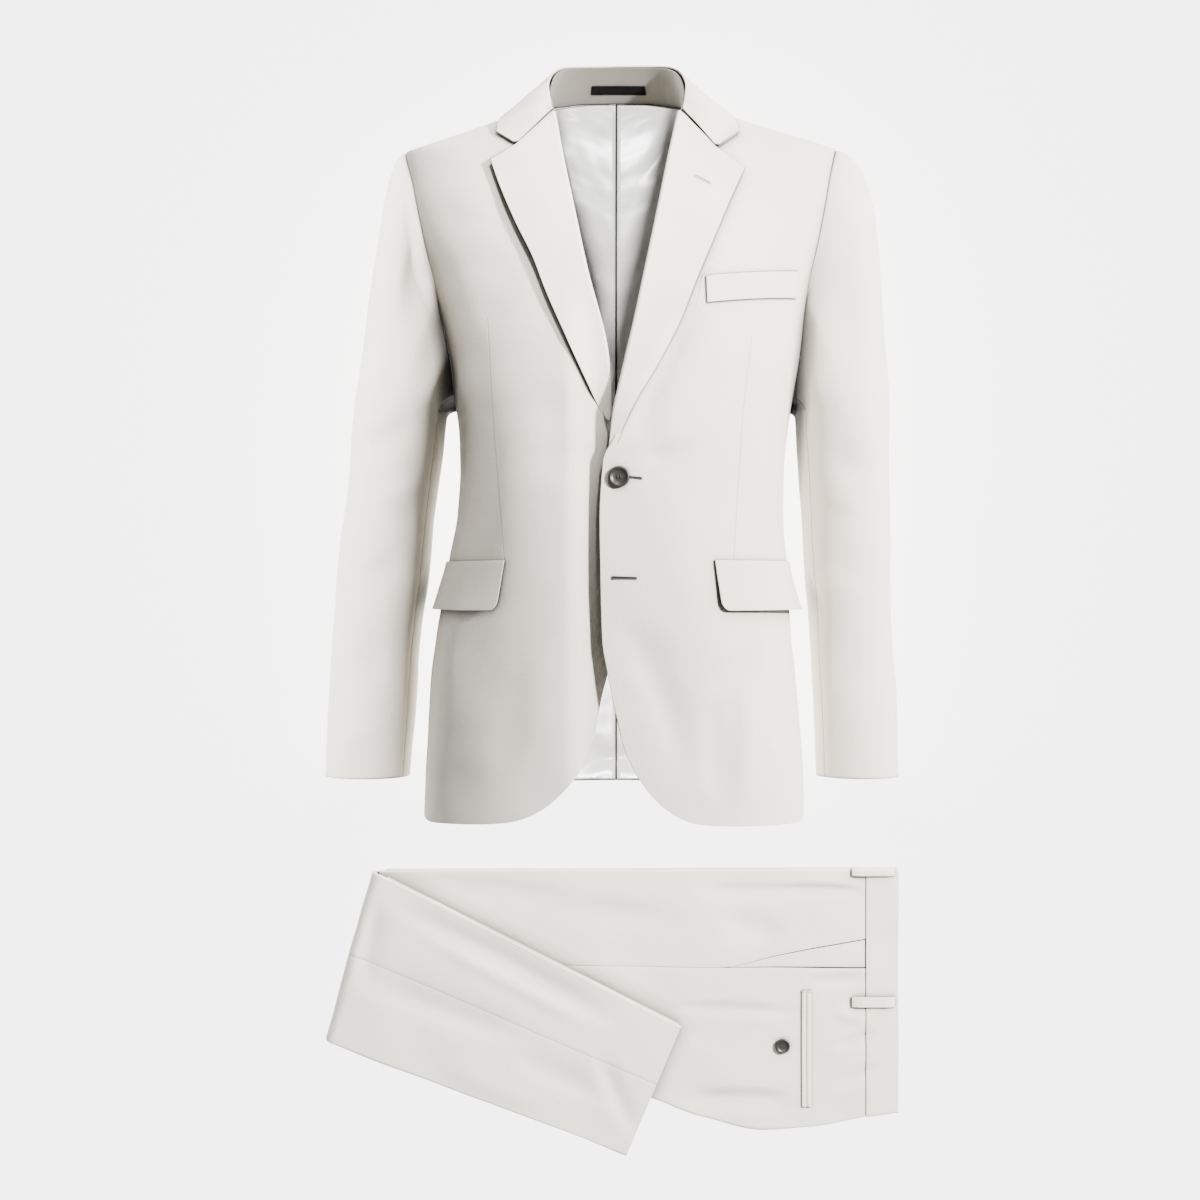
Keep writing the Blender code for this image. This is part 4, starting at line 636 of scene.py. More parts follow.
def drawn_lines(x, y, lines):
    """Signed distances in plan to sewn lines, and how strongly the nearest one shows."""
    nearest, best = np.full(np.shape(x), FAR_OFF), np.full(np.shape(x), FAR_OFF)
    strength = np.zeros(np.shape(x))
    for weight, *points in lines:
        for (x0, y0), (x1, y1) in zip(points, points[1:]):
            way = np.array([x1 - x0, y1 - y0])
            length = np.linalg.norm(way)
            way /= length
            run = (x - x0) * way[0] + (y - y0) * way[1]
            off = (x - x0) * way[1] - (y - y0) * way[0]
            past = np.abs(run - np.clip(run, 0, length))
            better = np.hypot(off, past) < best
            best = np.where(better, np.hypot(off, past), best)
            nearest = np.where(better, off, nearest)
            shown = weight * np.clip(1 - past / LINE_FADE, 0, 1) * (np.abs(off) < LINE_REACH)
            strength = np.where(better, shown, strength)
    return nearest, strength


def front_lines(side):
    """Painted shade on a front: along its dart, and the close shadow round the lapel and the breast welt."""
    edge = LAPEL_EDGE[side]
    y = spread(edge["y"][0] + LAPEL_LINE_FROM, edge["y"][-1] + LAPEL_LINE_PAST, LAPEL_LINE_STEPS)
    beside = [(side * (x + LAPEL_LINE_OUT), at) for x, at in zip(edge.at("x", y), y)]
    lines = [*DARTS[side], (LAPEL_LINE[side], *beside)]
    if side > 0:
        corners = np.array(WELT_CORNERS)
        out = corners - corners.mean(axis=0)
        around = corners + np.sign(out) * WELT_LINE_OUT
        lines += [(WELT_LINE, tuple(a), tuple(b)) for a, b in zip(around, np.roll(around, -1, axis=0))]
    return lines


def node(tree, kind, inputs=None, **settings):
    """A shader node with its inputs set to values or linked to sockets."""
    made = tree.nodes.new(kind)
    for name, value in settings.items():
        setattr(made, name, value)
    for key, value in (inputs or {}).items():
        socket = made.inputs[key]
        if isinstance(value, bpy.types.NodeSocket):
            tree.links.new(value, socket)
        else:
            socket.default_value = value
    return made


def maths(tree, operation, *values):
    return node(tree, "ShaderNodeMath", dict(enumerate(values)), operation=operation).outputs[0]


def noise(tree, where, scale, detail=2.0, roughness=0.5):
    inputs = {"Vector": where, "Scale": scale, "Detail": detail, "Roughness": roughness}
    return node(tree, "ShaderNodeTexNoise", inputs).outputs["Fac"]


def scaled(tree, where, x, y, z=1.0):
    return node(tree, "ShaderNodeMapping", {"Vector": where, "Scale": (x, y, z)}).outputs[0]


def mixed(tree, factor, first, second):
    """Two colours mixed by a factor."""
    made = node(tree, "ShaderNodeMix", {"Factor": factor}, data_type="RGBA")
    for socket, value in ((made.inputs[6], first), (made.inputs[7], second)):
        if isinstance(value, bpy.types.NodeSocket):
            tree.links.new(value, socket)
        else:
            socket.default_value = (*value, 1)
    return made.outputs[2]


def new_material(name, **constants):
    """A material with its shader's own sockets set; the rest is linked by its maker."""
    made = bpy.data.materials.new(name)
    made.use_nodes = True
    shader = made.node_tree.nodes["Principled BSDF"]
    for key, value in constants.items():
        shader.inputs[key.replace("_", " ")].default_value = value
    return made, made.node_tree, shader


def weighted(tree, parts, weights):
    """The sum of some of the parts, each times its weight."""
    total = 0.0
    for name, weight in weights.items():
        total = maths(tree, "MULTIPLY_ADD", parts[name], weight, total)
    return total


def flat_place(tree):
    """Each point's place in the flat cloth, in millimetres."""
    return node(tree, "ShaderNodeUVMap", uv_map="cloth").outputs[0]


def drawn_line(tree):
    """How far off a drawn line is, and how strongly it shows."""
    names = ("line", "line_shown")
    line, shown = (node(tree, "ShaderNodeAttribute", attribute_name=name).outputs["Fac"] for name in names)
    return maths(tree, "ABSOLUTE", line), shown


def ribs(tree, along, pitch):
    return maths(tree, "SINE", maths(tree, "MULTIPLY", along, math.pi / pitch))


def finish_look(tree, shader, colour, height, strength, distance=MM):
    """Links a material's colour, and its height as a bump."""
    bump = node(tree, "ShaderNodeBump", {"Height": height, "Strength": strength, "Distance": distance})
    tree.links.new(colour, shader.inputs["Base Color"])
    tree.links.new(bump.outputs[0], shader.inputs["Normal"])


def suiting():
    """A plain weave of fine wool in off-white, with slightly thick and thin yarns."""
    made, tree, shader = new_material(
        "suiting_cloth", Sheen_Weight=0.25, Sheen_Roughness=0.5, Specular_IOR_Level=0.25, IOR=1.45
    )
    where = flat_place(tree)
    across, up = node(tree, "ShaderNodeSeparateXYZ", {"Vector": where}).outputs[:2]
    weave = maths(tree, "MULTIPLY", ribs(tree, across, THREAD), ribs(tree, up, THREAD))
    upright, level = (noise(tree, scaled(tree, where, *stretch), 1.0, 3.0, 0.6) for stretch in YARN_STRETCH)
    fuzz = noise(tree, where, FUZZ_SCALE, 2.0, 0.7)
    line, shown = drawn_line(tree)
    edge = maths(tree, "SMOOTH_MIN", maths(tree, "DIVIDE", line, GROOVE_WIDTH), 1.0, GROOVE_SOFTNESS)
    groove = maths(tree, "MAXIMUM", maths(tree, "SUBTRACT", 1.0, edge), 0.0)
    parts = {
        "weave": weave,
        "yarns": maths(tree, "ADD", upright, level),
        "fuzz": fuzz,
        "cloud": noise(tree, where, CLOUD_SCALE, 2.0, 0.5),
        "groove": maths(tree, "MULTIPLY", groove, shown),
    }
    # Painted shade: near crevices, under lapels and flaps and between parts, ambient occlusion darkens the
    # colour to near-black.
    open_sky = node(tree, "ShaderNodeAmbientOcclusion", {"Distance": CREVICE_REACH}, samples=6).outputs["AO"]
    crevice_shade = maths(tree, "SUBTRACT", 1.0, maths(tree, "POWER", open_sky, CREVICE_POWER))
    plain = mixed(tree, weighted(tree, parts, SUITING_TONE), SUITING_DARK, SUITING_LIGHT)
    # Painted shade along the drawn lines: the dart seams, and the close shadow beside the lapel and round the
    # breast welt.
    line_shaded = mixed(tree, maths(tree, "MULTIPLY", parts["groove"], LINE_SHADE_TONE), plain, SUITING_SHADE)
    tree.links.new(maths(tree, "MULTIPLY_ADD", fuzz, 0.2, 0.72), shader.inputs["Roughness"])
    colour = mixed(tree, crevice_shade, line_shaded, SUITING_CREVICE_SHADE)
    finish_look(tree, shader, colour, weighted(tree, parts, SUITING_HEIGHT), 1.0)
    return made


def satin():
    """A smooth satin in white, with the faint line of its long floats."""
    made, tree, shader = new_material("satin_lining", Specular_IOR_Level=0.8, IOR=1.5, Anisotropic=0.35)
    where = flat_place(tree)
    parts = {
        "floats": noise(tree, scaled(tree, where, *FLOAT_STRETCH), 1.0, 2.0, 0.6),
        "creases": noise(tree, where, CREASE_SCALE, 1.0, 0.4),
    }
    line, shown = drawn_line(tree)
    # Painted shade: a near-black band along the centre back seam, where shade lies in the pleat.
    seam = maths(tree, "MULTIPLY", maths(tree, "LESS_THAN", line, SATIN_SEAM_SHADE_WIDTH), shown)
    plain = mixed(tree, noise(tree, where, 0.03, 3.0, 0.5), SATIN_DARK, SATIN_LIGHT)
    tree.links.new(maths(tree, "MULTIPLY_ADD", parts["floats"], 0.10, 0.27), shader.inputs["Roughness"])
    finish_look(tree, shader, mixed(tree, seam, plain, SATIN_SHADE), weighted(tree, parts, SATIN_HEIGHT), 0.8)
    return made


def horn():
    """Polished dark horn with paler streaks."""
    made, tree, shader = new_material("horn_button", Roughness=0.38, Specular_IOR_Level=0.4)
    where = node(tree, "ShaderNodeTexCoord").outputs["Object"]
    streaks = noise(tree, scaled(tree, where, *STREAK_STRETCH), 1.0, 4.0, 0.6)
    finish_look(tree, shader, mixed(tree, streaks, HORN_DARK, HORN_LIGHT), streaks, 0.2, 0.2 * MM)
    return made


def woven_tape():
    """A dark ribbon with fine crosswise ribs."""
    made, tree, shader = new_material("ribbon_tape", Roughness=0.7, Specular_IOR_Level=0.3)
    where = flat_place(tree)
    up = node(tree, "ShaderNodeSeparateXYZ", {"Vector": where}).outputs[1]
    tint = noise(tree, scaled(tree, where, *TINT_STRETCH), 1.0, 2.0)
    colour = mixed(tree, tint, TAPE_DARK, TAPE_LIGHT)
    finish_look(tree, shader, colour, ribs(tree, up, TAPE_RIB), 0.6, 0.1 * MM)
    return made


def thread(name, dark, light):
    """Sewing thread, with its twist as fine ridges."""
    made, tree, shader = new_material(name, Roughness=0.55, Sheen_Weight=0.2)
    twist = noise(tree, node(tree, "ShaderNodeTexCoord").outputs["Object"], TWIST_SCALE, 2.0)
    finish_look(tree, shader, mixed(tree, twist, dark, light), twist, 0.5, 0.2 * MM)
    return made


def plain_surface(name, colour, roughness):
    made, _, shader = new_material(name, Roughness=roughness)
    shader.inputs["Base Color"].default_value = (*colour, 1)
    return made


SUITING, SATIN, HORN, TAPE = suiting(), satin(), horn(), woven_tape()
PALE_THREAD = thread("pale_thread", THREAD_DARK, THREAD_LIGHT)
# Dark thread for the buttons and buttonholes, also used for the painted shade sheet inside each buttonhole.
DARK_THREAD_AND_SHADE = thread("dark_thread", HORN_DARK, HORN_LIGHT)

# The scene's own pieces by name, for what is laid on them.
MADE = {}


def linked(name, data):
    """A new object in the scene."""
    made = bpy.data.objects.new(name, data)
    bpy.context.scene.collection.objects.link(made)
    return made


def baked(made):
    """The mesh of an object with its modifiers applied."""
    bpy.context.view_layer.update()
    return bpy.data.meshes.new_from_object(made.evaluated_get(bpy.context.evaluated_depsgraph_get()))


def finish_mesh(name, points, faces, garment, materials):
    """A smooth mesh from points in millimetres of a garment's frame, riding on the part's one body."""
    first, second, third, fourth = (points[faces[:, k]] for k in range(4))
    double = np.cross(second - first, third - first) + np.cross(third - first, fourth - first)
    if (double * first).sum() < 0:
        faces = faces[:, ::-1]
    world = (points + (*garment, 0)) * MM
    mesh = bpy.data.meshes.new(name)
    mesh.from_pydata(world.tolist(), [], faces.tolist())
    for surface in materials:
        mesh.materials.append(surface)
    mesh.shade_smooth()
    made = linked(name, mesh)
    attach(made, "root")
    return made


def add_field(mesh, name, values):
    """Gives each point of a mesh a value that its material reads by name."""
    field = mesh.attributes.new(name, "FLOAT", "POINT")
    field.data.foreach_set("value", np.ascontiguousarray(values, np.float32).ravel())


def add_uv(mesh, uv):
    corner = np.zeros(len(mesh.loops), np.int32)
    mesh.loops.foreach_get("vertex_index", corner)
    mesh.uv_layers.new(name="cloth").data.foreach_set("uv", uv[corner].astype(np.float32).ravel())


def cloth_uv(grid):
    """Each point's place in the flat cloth, in millimetres."""
    distance = edge_distances(grid)
    return np.stack([distance["first"], distance["bottom"]], axis=-1)


def panel(name, grid, normals, garment, thick=WALL, seams=(), lines=(), surfaces=None, slot="suiting"):
    """A cloth panel that stands for its solid: its face on the grid, and its back a wall below."""
    outer = sunk(grid, normals, seams)
    rows, columns = outer.shape[:2]
    points = np.concatenate([outer.reshape(-1, 3), (outer - normals * thick).reshape(-1, 3)])
    index = np.arange(rows * columns).reshape(rows, columns)
    face = np.stack([index[:-1, :-1], index[:-1, 1:], index[1:, 1:], index[1:, :-1]], axis=-1).reshape(-1, 4)
    rim = np.concatenate([index[0, :-1], index[:-1, -1], index[-1, :0:-1], index[:0:-1, 0]])
    there = np.roll(rim, -1)
    below = rows * columns
    sides = np.stack([there, rim, rim + below, there + below], axis=-1)
    faces = np.concatenate([face, face[:, ::-1] + below, sides])
    materials = surfaces or (SUITING,)
    made = finish_mesh(name, points, faces, garment, materials)
    add_uv(made.data, np.tile(cloth_uv(grid).reshape(-1, 2), (2, 1)))
    if lines:
        distance, shown = drawn_lines(grid[..., 0].ravel(), grid[..., 1].ravel(), lines)
        add_field(made.data, "line", np.tile(distance, 2))
        add_field(made.data, "line_shown", np.concatenate([shown, 0 * shown if slot == "suiting" else shown]))
    if len(materials) > 1:
        which = np.zeros(len(faces), np.int32)
        which[len(face) : 2 * len(face)] = 1
        made.data.polygons.foreach_set("material_index", which)
    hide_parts(name)
    MADE[name] = made


def loft(name, loops, garment):
    """A closed solid through a row of closed loops, capped at both ends with rings that shrink to a point."""
    loops = np.asarray(loops)
    ends = [loops[k].mean(axis=0) for k in (0, -1)]
    shrink = (0.0, 0.5)
    first = [ends[0] + (loops[0] - ends[0]) * s for s in shrink]
    last = [ends[1] + (loops[-1] - ends[1]) * s for s in shrink[::-1]]
    loops = np.array([*first, *loops, *last])
    count, around = loops.shape[:2]
    index = np.arange(count * around).reshape(count, around)
    turned = np.roll(index, -1, axis=1)
    faces = np.stack([index[:-1], turned[:-1], turned[1:], index[1:]], axis=-1).reshape(-1, 4)
    made = finish_mesh(name, loops.reshape(-1, 3), faces, garment, (SUITING,))
    add_uv(made.data, loops.reshape(-1, 3)[:, :2])
    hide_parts(name)


def lower_body(side, rows, front, around, back):
    """Rows from hem to armpit, columns from the front edge to the centre back, as points."""
    grid = []
    corner_y = FRONT_EDGE[side]["y"][0]
    for v in rows:
        edge_y = blend(corner_y, ARMPIT_Y, v)
        seam_t = blend(FRONT_SEAM_HEM_T, FRONT_SEAM_T, v)
        first_t = angle_of(side * FRONT_EDGE[side].at("x", edge_y), edge_y, side)
        on_side, on_back = blend(seam_t, BACK_SEAM_T, around[1:]), blend(BACK_SEAM_T, 180, back[1:])
        t = np.concatenate([blend(first_t, seam_t, front), on_side, on_back])
        grid.append(round_body(t, blend(HEM[side].at("y", t), ARMPIT_Y, v), side))
    return np.array(grid)


def upper_front(side, bottom, rows):
    """The chest from the armpit to the shoulder seam."""
    inner = edge_curve(FRONT_EDGE[side], blend(ARMPIT_Y, NECK_Y, rows), side)
    outer = edge_curve(ARMHOLE_FRONT[side], blend(ARMPIT_Y, TIP_Y[side], rows), side)
    inner[-1] = (side * NECK_X, NECK_Y)
    plan = coons(bottom[:, :2], shoulder_line(side, 1 - shares(bottom[:, :2])), inner, outer)
    upper = np.dstack([plan, front_height(plan[..., 0], plan[..., 1], side)])
    upper[-1, :, 2] = BODY.at("side_z", TIP_Y[side])
    return upper[1:]


def upper_back(side, bottom, rows):
    """The back from the armpit to the shoulder seam and the neckline."""
    outer = edge_curve(ARMHOLE_BACK[side], blend(ARMPIT_Y, TIP_Y[side], rows), side)
    outer[0] = bottom[0, :2]
    centre_y = blend(ARMPIT_Y, NAPE_Y, rows)
    centre = np.stack([0 * centre_y, centre_y], axis=-1)
    at = shares(bottom[:, :2])
    on_neck = np.clip((at - SHOULDER_SHARE) / (1 - SHOULDER_SHARE), 0, 1)
    neck_x = NECK_X * (1 - on_neck)
    neck = np.stack([side * neck_x, NECKLINE.at("y", neck_x)], axis=-1)
    on_shoulder = at < SHOULDER_SHARE
    top = np.where(on_shoulder[:, None], shoulder_line(side, at / SHOULDER_SHARE), neck)
    plan = coons(bottom[:, :2], top, outer, centre)
    upper = np.dstack([plan, back_height(plan[..., 0], plan[..., 1])])
    upper[-1, on_shoulder, 2] = BODY.at("side_z", TIP_Y[side])
    return upper[1:]


def sleeve_grid(side, loop, body_normals):
    """Rows from the armhole down to the cuff, columns round the sleeve from the shoulder tip."""
    reach = lengths(np.concatenate([loop, loop[:1]]))
    phi = 2 * math.pi * reach[:-1] / reach[-1]

    def ring(y):
        table = SLEEVE[side]
        outer, inner = table.at("outer", y), table.at("inner", y)
        x = side * ((outer + inner) / 2 + (outer - inner) / 2 * np.cos(phi))
        z = table.at("mid_z", y) + table.at("half_depth", y) * np.sin(phi)
        return np.stack([x, np.full_like(x, y), np.maximum(z, 0)], axis=-1)

    first = ring(SLEEVE_TOP_Y)
    rows = []
    facing, rising = np.clip(np.cos(phi), 0, 1), np.clip(np.sin(phi), 0, 1)
    under = np.clip(-np.cos(phi), 0, 1)[:, None]
    cap = fine(TIP_Y[side] - SLEEVE_TOP_Y) ** CAP_CLOSING
    for s in cap[:-1]:
        row = blend(loop, first, s)
        row[:, 0] += side * CAP_BULGE[side] * math.sin(math.pi * s**CAP_SKEW) * facing
        row[:, 2] += CAP_RISE * math.sin(math.pi * s) * rising
        rows.append(row + body_normals * under * UNDERARM_PUSH * math.sin(math.pi * s))
    rows += [ring(y) for y in blend(SLEEVE_TOP_Y, CUFF_Y, fine(SLEEVE_TOP_Y - CUFF_Y)[len(RIM) - 1 :])]
    return eased(np.array(rows)), np.degrees(phi)


def eased(grid):
    """Smooths a sleeve's rows below the armhole, where the cap runs into the arm."""
    reach = edge_distances(grid)["bottom"]
    share = np.clip((reach - CAP_EASE[0]) / (CAP_EASE[1] - CAP_EASE[0]), 0, 1)[..., None]
    soft = grid.copy()
    for _ in range(round(CAP_EASE_WORK / STEP**2)):
        soft[1:-1] = (soft[:-2] + 2 * soft[1:-1] + soft[2:]) / 4
    return grid + (soft - grid) * share


def sleeve(side, name, loop, body_normals):
    """The top sleeve and the under sleeve."""
    grid, phi = sleeve_grid(side, loop, body_normals)
    normals = outward(normals_of(grid, closed=True), grid, grid.mean(axis=1, keepdims=True))
    apart = (normals[0] * body_normals).sum(axis=-1, keepdims=True) <= 0
    grid[0] += apart * np.array([side * UNDERARM_CLEAR, 0, 0])
    free = eased_in(edge_distances(grid)["bottom"], HELD_BY_SEAM)
    grid = ripple(grid, normals, SLEEVE_FOLDS, UNDER_SLEEVE_FOLDS, free)
    fore = int(np.argmin(np.abs(phi - FORE_SEAM_PHI)))
    hind = int(np.argmin(np.abs(phi - HIND_SEAM_PHI)))
    top = list(range(hind, len(phi))) + list(range(fore + 1))
    for kind, columns in (("top", top), ("under", list(range(fore, hind + 1)))):
        panel(
            f"sleeve_{kind}_{name}", grid[:, columns], normals[:, columns], JACKET_AT,
            seams=("bottom", "first", "last"), surfaces=(SUITING, SATIN),
        )


def body(side, name):
    """Front, side panel, back and both sleeve pieces of one side, and its half of the back lining."""
    low_rows, high_rows = fine(ARMPIT_Y), fine(NECK_Y - ARMPIT_Y)
    across, around, behind = (fine(width) for width in BODY_WIDTHS)
    lower = lower_body(side, low_rows, across, around, behind)
    seam, hind = len(across) - 1, len(across) + len(around) - 2
    front = np.concatenate([lower[:, : seam + 1], upper_front(side, lower[-1, : seam + 1], high_rows)])
    back = np.concatenate([lower[:, hind:], upper_back(side, lower[-1, hind:], high_rows)])
    lower_normals, front_normals, back_normals = (
        outward(normals_of(grid), grid * (1, 0, 1), BODY_AXIS) for grid in (lower, front, back)
    )
    normals = {"front": front_normals, "side": lower_normals[:, seam : hind + 1], "back": back_normals}
    below = len(low_rows) - 1
    for key, column, source in (("front", -1, seam), ("back", 0, hind)):
        normals[key][:below, column] = lower_normals[:below, source]
    normals["back"][:, -1, 0] = 0
    normals["back"] /= np.linalg.norm(normals["back"], axis=-1, keepdims=True)
    lining(name, back, normals["back"])
    pieces = {"front": front, "side": lower[:, seam : hind + 1], "back": back}
    for key, grid in pieces.items():
        free = 1.0 if key == "side" else eased_in(edge_distances(grid)["top"], HELD_BY_SEAM)
        pieces[key] = ripple(grid, normals[key], FRONT_FOLDS, BACK_FOLDS, free)
    seams = {"front": ("top", "last"), "side": ("top", "first", "last"), "back": ("top", "first", "last")}
    for key, grid in pieces.items():
        panel(
            f"{key}_{name}", grid, normals[key], JACKET_AT, seams=seams[key],
            lines=front_lines(side) if key == "front" else (), surfaces=(SUITING, SATIN),
        )
    loop = [pieces["front"][below:, -1][::-1], pieces["side"][-1, 1:], pieces["back"][below + 1 :, 0]]
    turned = [normals["front"][below:, -1][::-1], normals["side"][-1, 1:], normals["back"][below + 1 :, 0]]
    sleeve(side, name, np.concatenate(loop)[:-1], np.concatenate(turned)[:-1])


def lining(name, back, normals):
    """The back lining that shows through the neck and over the hem, clear of the back's inner face."""
    grid = (back - normals * (WALL + LAYER_GAP))[1:, 3:]
    grid[0, :, 1] += LINING_SHORT["hem"]
    grid[-1, :, 1] -= LINING_SHORT["top"]
    lift = folds(grid[..., 0], grid[..., 1], LINING_FOLDS)
    grid[..., 2] += np.maximum(lift + LINING_DRIFT * drift(grid), 0)
    panel(
        f"lining_{name}", grid, normals[1:, 3:], JACKET_AT, LINING_WALL,
        lines=CENTRE_LINE, surfaces=(SATIN,), slot="lining",
    )


def lapel(side, name):
    """The lapel on its front: a roll at the fold line, then the turned-back cloth out to its edge."""
    roll, edge = ROLL[side], LAPEL_EDGE[side]
    tip = np.array([edge["x"][-1], edge["y"][-1]])
    notch = np.array(NOTCH[side])
    gorge = np.array([roll["x"][-1], roll["y"][-1]])
    v, u = fine(roll["y"][-1] - roll["y"][0]), fine(LAPEL_WIDTH)
    roll_y, edge_y = (blend(table["y"][0], table["y"][-1], v) for table in (roll, edge))
    inner = np.stack([roll.at("x", roll_y), roll_y], axis=-1)
    outer = np.stack([edge.at("x", edge_y), edge_y], axis=-1)
    on_tip = np.clip((u - NOTCH_SHARE) / (1 - NOTCH_SHARE), 0, 1)[:, None]
    on_gorge = gorge + (notch - gorge) * u[:, None] / NOTCH_SHARE
    top = np.where(u[:, None] < NOTCH_SHARE, on_gorge, blend(notch, tip, on_tip))
    bottom = blend(inner[0], outer[0], u[:, None])
    plan = coons(bottom, top, inner, outer)
    x, y = side * plan[..., 0], plan[..., 1]
    low, high = LAPEL_LIFT[side]
    opening = np.clip(v / LAPEL_OPENS_BY, 0, 1)[:, None]
    lift = low + (high - low) * u**LAPEL_LIFT_POWER * opening
    free = eased_in(roll_y - roll_y[0], LAPEL_BREAK_OVER)[:, None]
    lift = lift * free - LAPEL_BREAK_DEPTH * (1 - free)
    face = np.dstack([x, y, front_height(x, y, side) + lift])
    face[..., 2] += folds(x, y, FRONT_FOLDS) + drift(face)
    radius = ROLL_RADIUS * (LAPEL_BREAK_ROLL + (1 - LAPEL_BREAK_ROLL) * free[:, 0])
    rolled = []
    for angle in np.radians(spread(90, 0, ROLL_STEPS)[:-1]):
        start = face[:, 0].copy()
        start[:, 0] -= side * radius * math.sin(angle)
        start[:, 2] -= radius * (1 - math.cos(angle))
        rolled.append(start)
    tucked = rolled[0].copy()
    tucked[:, 2] -= radius
    grid = np.concatenate([np.stack([tucked, *rolled], axis=1), face], axis=1)
    panel(f"lapel_{name}", grid, facing_up(normals_of(grid)), JACKET_AT, seams=("top",))


def collar_line(kind, stations):
    """One of the collar's lines, from the wearer's right front end round the back to the left one."""
    where, side = np.abs(stations), np.where(stations < 0, -1, 1)
    x = side * COLLAR.at(f"{kind}_x", where)
    return np.stack([x, COLLAR.at(f"{kind}_y", where), COLLAR.at(f"{kind}_z", where)], axis=-1)


def collar_out(stations):
    """Unit vectors square to the leaf, pointing away from the neck."""
    fold, edge = collar_line("fold", stations), collar_line("edge", stations)
    out = np.cross(np.gradient(fold, axis=0), edge - fold)
    out /= np.linalg.norm(out, axis=-1, keepdims=True)
    return out * np.sign((out * (fold - COLLAR_CENTRE)).sum())


def stand_grid(stations, at):
    """The outer face of the collar stand, from just inside the fold down to the neck seam."""
    fold, seam, out = collar_line("fold", stations), collar_line("seam", stations), collar_out(stations)
    drop = (1 - np.abs(stations) / COLLAR["station"][-1])[:, None] * (0, -STAND_DROP, 0)
    inside = fold - out * (WALL + LAYER_GAP) + drop
    return inside[:, None] + (seam - inside)[:, None] * np.array(at)[None, :, None]


def stand_normals(grid):
    return outward(normals_of(grid), grid, COLLAR_CENTRE)


def gorge_end(leaf, fold, hand, u):
    """The front end of the collar leaf: along the gorge to the notch, then out to the collar's point."""
    notch, tip = np.array([hand * NOTCH[hand][0], NOTCH[hand][1]]), leaf[-1, :2]
    way = notch - fold[:2]
    clear = np.array([-way[1] * hand, way[0] * hand])
    clear *= GORGE_CLEAR * hand * np.sign(clear[0]) / np.linalg.norm(clear)
    at_notch = fold[:2] + clear + way
    on_gorge = (u / COLLAR_NOTCH_SHARE)[:, None]
    past = np.clip((u - COLLAR_NOTCH_SHARE) / (1 - COLLAR_NOTCH_SHARE), 0, 1)[:, None]
    plan = np.where(on_gorge < 1, fold[:2] + clear + way * on_gorge, at_notch + (tip - at_notch) * past)
    z = front_height(plan[:, 0], plan[:, 1], hand) + LEAF_LIFT
    onto = np.clip(on_gorge[:, 0] / GORGE_RISE, 0, 1)
    return np.column_stack([plan, fold[2] + (z - fold[2]) * onto])


def collar():
    """The leaf that folds over and lies on the shoulders, and the stand inside it."""
    u, front_end = fine(LEAF_SIZE[1]), COLLAR["station"][-1]
    leaf = leaf_rows(COLLAR_END * (2 * fine(LEAF_SIZE[0]) - 1), u)
    ends = {}
    for hand in (-1, 1):
        last = leaf_rows(hand * np.array([front_end, front_end - 0.1]), u)[0]
        ends[hand] = gorge_end(last, collar_line("fold", np.array([hand * front_end]))[0], hand, u)
    steps = (1 - fine(LEAF_END_WIDTH)[:-1])[:, None, None]
    first, last = blend(leaf[0], ends[-1], steps), blend(leaf[-1], ends[1], steps[::-1])
    leaf = np.concatenate([first, leaf, last[1:], ends[1][None]])
    normals = outward(normals_of(leaf), leaf, COLLAR_CENTRE)
    panel("collar_leaf", leaf + normals * (LEAF_DRIFT * drift(leaf))[..., None], normals, JACKET_AT)
    stand = stand_grid(front_end * (2 * fine(STAND_SIZE[0]) - 1), fine(STAND_SIZE[1]))
    panel("collar_stand", stand, stand_normals(stand), JACKET_AT)


def leaf_rows(stations, u):
    """Points from the fold to the edge of the leaf, bulging away from the neck."""
    fold, edge, out = collar_line("fold", stations), collar_line("edge", stations), collar_out(stations)
    bulge = LEAF_BULGE * np.sin(math.pi * u**LEAF_SKEW)[None, :, None]
    return fold[:, None] + (edge - fold)[:, None] * u[None, :, None] + out[:, None] * bulge


def neck_label():
    """The plain dark tape sewn across the inside of the stand at the centre back."""
    length, width = (fine(size) for size in LABEL_SIZE)
    grid = stand_grid(blend(*LABEL_STATIONS, length), blend(*LABEL_SHARES, width))
    normals = stand_normals(grid)
    face = grid - normals * (WALL + SEAM)
    panel("neck_tape", face, normals, JACKET_AT, LABEL_THICK, surfaces=(TAPE,), slot="tape")


def body_frame(side, t, y):
    """Points on the body's outer surface and their outward normals."""
    step = 0.4
    here = round_body(t, y, side)
    across = round_body(t + step, y, side) - round_body(t - step, y, side)
    up = round_body(t, y + step, side) - round_body(t, y - step, side)
    normal = np.cross(across, up)
    normal /= np.maximum(np.linalg.norm(normal, axis=-1, keepdims=True), 1e-9)
    return here, outward(normal, here * (1, 0, 1), BODY_AXIS)


